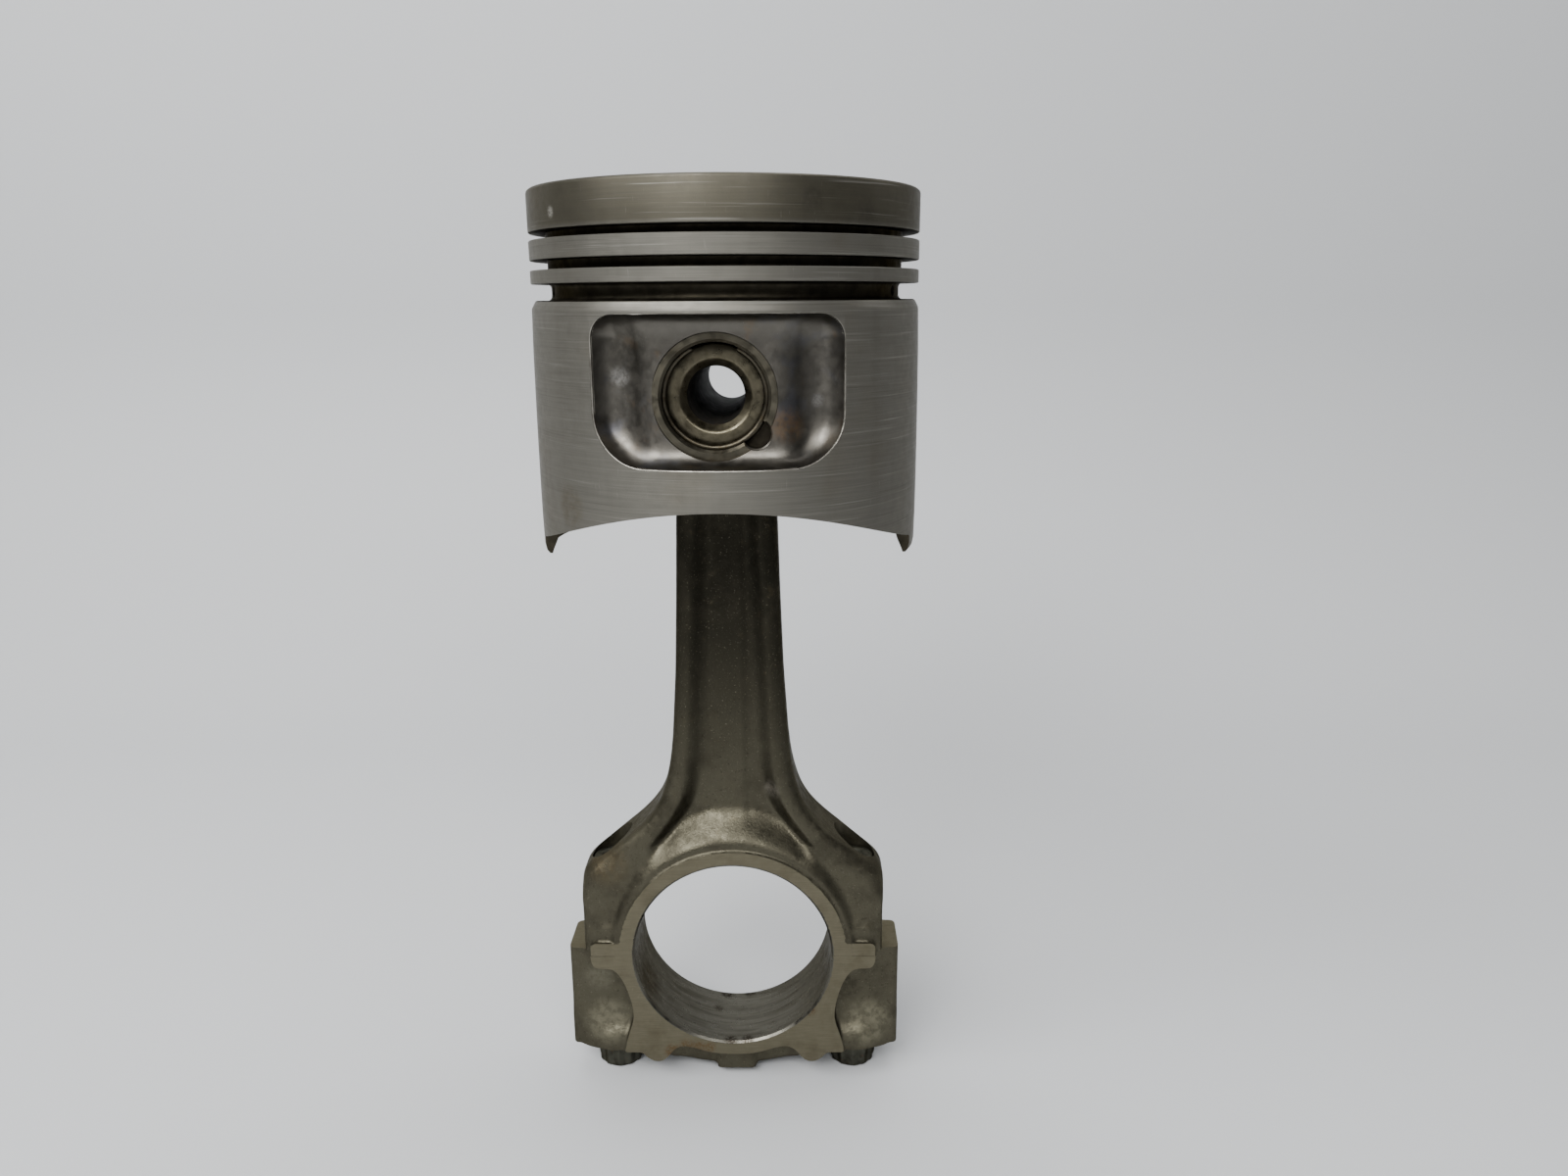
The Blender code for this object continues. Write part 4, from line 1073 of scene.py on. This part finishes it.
# near-black inside of the hollow pin: painted shade in the tube, with brownish marks
PIN_HOLE_SHADE = metal(
    "pin_bore", (22, 20, 17), 0.8,
    marks=(((40, 32, 23), 3.0, 0.5, 0.75, 0.6),), grain=(0.5, 0.03), metallic=0.1)
SPRING = metal(
    "spring_steel", (74, 70, 60), 0.38,
    marks=(((66, 58, 44), 1.5, 0.45, 0.72, 0.7),), grain=(0.2, 0.01))
BLACKED = metal(
    "black_steel", (74, 74, 66), 0.42,
    marks=(((42, 40, 34), 2.5, 0.42, 0.7, 0.7),
           ((150, 146, 132), 0.6, 0.66, 0.82, 0.6),
           ((104, 74, 44), 1.6, 0.64, 0.8, 0.5)), grain=(0.25, 0.02))
BRONZE = metal(
    "bronze", (178, 136, 84), 0.34,
    marks=(((110, 78, 46), 3.0, 0.45, 0.72, 0.6),), grain=(0.25, 0.01),
    lines=(0.15, 0.004, (1.0, 0.05, 1.0), PIN_CENTRE))


def piston_zone(place, normal):
    """Which of the piston's looks each face takes."""
    outside, crown, groove, pocket, cast, bored, edge = range(7)
    x, y, z = place.T
    reach = np.abs(y)
    radius = np.hypot(x, y)
    from_pin = np.hypot(x - PIN_X, z)
    zone = np.full(len(place), cast)
    outline = pocket_outline(x, z)
    zone[(outline < 1.2) & (reach > POCKET_FLOOR - 0.6)] = pocket
    zone[(from_pin < PIN_BORE_R + 1.0) & (reach > EYE_Y)] = bored
    flat = np.abs(normal[:, 1]) > 0.98
    zone[flat & (from_pin < SPOT_FACE_R + 0.4) & (np.abs(reach - SPOT_FACE) < 0.05)] = bored
    # painted shade: the notch's walls take the dark groove look
    notch = np.hypot(x - NOTCH_X, z - NOTCH_Z) < NOTCH_R + 0.1
    zone[notch & (reach > 34.0) & (reach < SPOT_FACE - 0.3)] = groove
    below = np.abs(normal[:, 2]) > 0.5
    zone[(z < ARCH_TOP_Z + 0.5) & below & (reach > TONGUE_HALF + 0.5)] = bored
    outward = np.sum(normal[:, :2] * place[:, :2], axis=1) / np.maximum(radius, 0.1)
    smooth = (outline > 0.45) | (reach < 30.0)
    zone[(radius > LAND_R - 1.2) & (outward > 0.2) & smooth] = outside
    zone[(radius > LAND_R - 0.1) & (outward > 0.985)] = outside
    # painted shade: the tongues' inner faces at the skirt's bottom take the dark groove look
    zone[(z < SKIRT_BOTTOM_Z + 9.0) & (reach < TONGUE_HALF + 2.0) & (outward < 0.9)] = groove
    rim = (radius > SKIRT_R - 0.8) & (outward > 0.1) & (outward < 0.985)
    zone[rim & (np.abs(outline) < 0.45) & (reach > 30.0)] = edge
    belt = z > GROOVES[2][1] - 0.8
    zone[belt & (radius > 39.5) & ((outward < 0.9) | (radius < 43.0))] = groove
    zone[belt & (radius > LAND_R - 0.4) & (outward > 0.2)] = outside
    zone[z > CROWN_Z - 0.05] = crown
    return zone


def rod_zone(place, normal):
    """Which of the looks of the rod and cap each face takes."""
    forged, ground, bore = range(3)
    x, y, z = place.T
    zone = np.full(len(place), forged)
    flat = np.abs(normal[:, 1]) > 0.98
    zone[flat & (np.abs(y) > THRUST_Y - 0.02) & (z < 60.0)] = ground
    zone[flat & (np.abs(y) > EYE_Y - 0.03) & (z > 100.0)] = ground
    level = np.abs(normal[:, 2])
    zone[(np.abs(z) < 0.2) & (level > 0.9) & (np.abs(x) < 39.5)] = ground
    zone[np.hypot(x, z) < BORE_R + 0.6] = bore
    seat = (np.abs(np.abs(x) - BOLT_X) < 11.0) & (level > 0.98)
    zone[seat & ((np.abs(z - HEAD_SEAT_Z) < 0.05) | (np.abs(z - SEAT_Z) < 0.1))] = ground
    return zone


forged_rod = build_rod()
forged_cap = build_cap()
used_piston = build_piston()
hollow_pin = build_pin()
bronze_bush = build_bush()
wire_clips = build_circlips()
nuts = build_nuts()
bolts = build_bolts()

dress(used_piston, (TURNED, CROWN, GROOVE_AND_SHADE, POCKET, CAST, BORED, EDGE), piston_zone,
      (0.0, 0.0, PIN_Z))
big_end = (PIN_X, 0.0, BIG_END_Z)
dress(forged_rod, (FORGED, GROUND, BORE), rod_zone, big_end)
dress(forged_cap, (FORGED, GROUND, BORE), rod_zone, big_end)
# faces inside the pin take the painted shade
dress(hollow_pin, (PIN_STEEL, PIN_HOLE_SHADE),
      lambda place, normal: np.hypot(place[:, 0] - PIN_X, place[:, 2] - PIN_Z) < 6.6)
dress(bronze_bush, (BRONZE,))
for clip in wire_clips:
    dress(clip, (SPRING,))
for piece in nuts + bolts:
    dress(piece, (BLACKED,))


# ---- camera, light, floor

CAMERA_AT = (14.92, -269.01, 204.09)
CAMERA_PITCH = 14.57
CAMERA_YAW = 0.389
CAMERA_ROLL = 0.301
CAMERA_LENS = 25.6


def add_camera():
    data = bpy.data.cameras.new("camera")
    data.lens = CAMERA_LENS
    data.sensor_width = 36.0
    data.clip_start = 0.01
    camera = new_piece("camera", data)
    turn = (Matrix.Rotation(math.radians(CAMERA_YAW), 4, 'Z')
            @ Matrix.Rotation(math.radians(90.0 - CAMERA_PITCH), 4, 'X')
            @ Matrix.Rotation(math.radians(-CAMERA_ROLL), 4, 'Z'))
    camera.matrix_world = Matrix.Translation(Vector(CAMERA_AT) * MM) @ turn
    bpy.context.scene.camera = camera


def add_area(name, place, target, size, watts):
    data = bpy.data.lights.new(name, 'AREA')
    data.shape = 'RECTANGLE'
    data.size, data.size_y = size
    data.energy = watts
    light = new_piece(name, data)
    light.location = place
    direction = Vector(target) - Vector(place)
    light.rotation_euler = direction.to_track_quat('-Z', 'Y').to_euler()


def add_floor():
    """A pale floor that curves up into a plain backdrop behind the part."""
    profile = [(-1.2, 0.0), (0.22, 0.0)]
    profile += [(0.22 + 0.2 * math.sin(a), 0.2 - 0.2 * math.cos(a))
                for a in np.linspace(0.0, math.pi / 2.0, 17)[1:]]
    profile.append((0.42, 1.3))
    points = [(x, y, z) for y, z in profile for x in (-1.4, 1.4)]
    faces = [(2 * i, 2 * i + 1, 2 * i + 3, 2 * i + 2) for i in range(len(profile) - 1)]
    mesh = bpy.data.meshes.new("floor")
    mesh.from_pydata(points, [], faces)
    mesh.shade_smooth()
    floor = new_piece("floor", mesh)
    material = bpy.data.materials.new("floor")
    material.use_nodes = True
    shader = material.node_tree.nodes["Principled BSDF"]
    shader.inputs["Base Color"].default_value = (0.52, 0.53, 0.54, 1.0)
    shader.inputs["Roughness"].default_value = 0.6
    mesh.materials.append(material)


def add_world():
    world = bpy.data.worlds.new("studio")
    world.use_nodes = True
    background = world.node_tree.nodes["Background"]
    background.inputs["Color"].default_value = (0.8, 0.81, 0.83, 1.0)
    background.inputs["Strength"].default_value = 0.11
    bpy.context.scene.world = world


add_camera()
add_floor()
add_world()
add_area("left", (-0.54, -0.54, 0.85), (0.0, 0.0, 0.1), (1.1, 0.5), 16.0)
add_area("right", (0.72, 0.42, 0.8), (0.0, 0.0, 0.08), (0.5, 0.5), 2.5)
add_area("front", (-0.05, -0.85, 0.76), (0.0, 0.0, 0.15), (1.1, 0.35), 9.5)
add_area("top", (0.0, 0.15, 1.1), (0.0, 0.0, 0.1), (0.9, 0.7), 6.5)
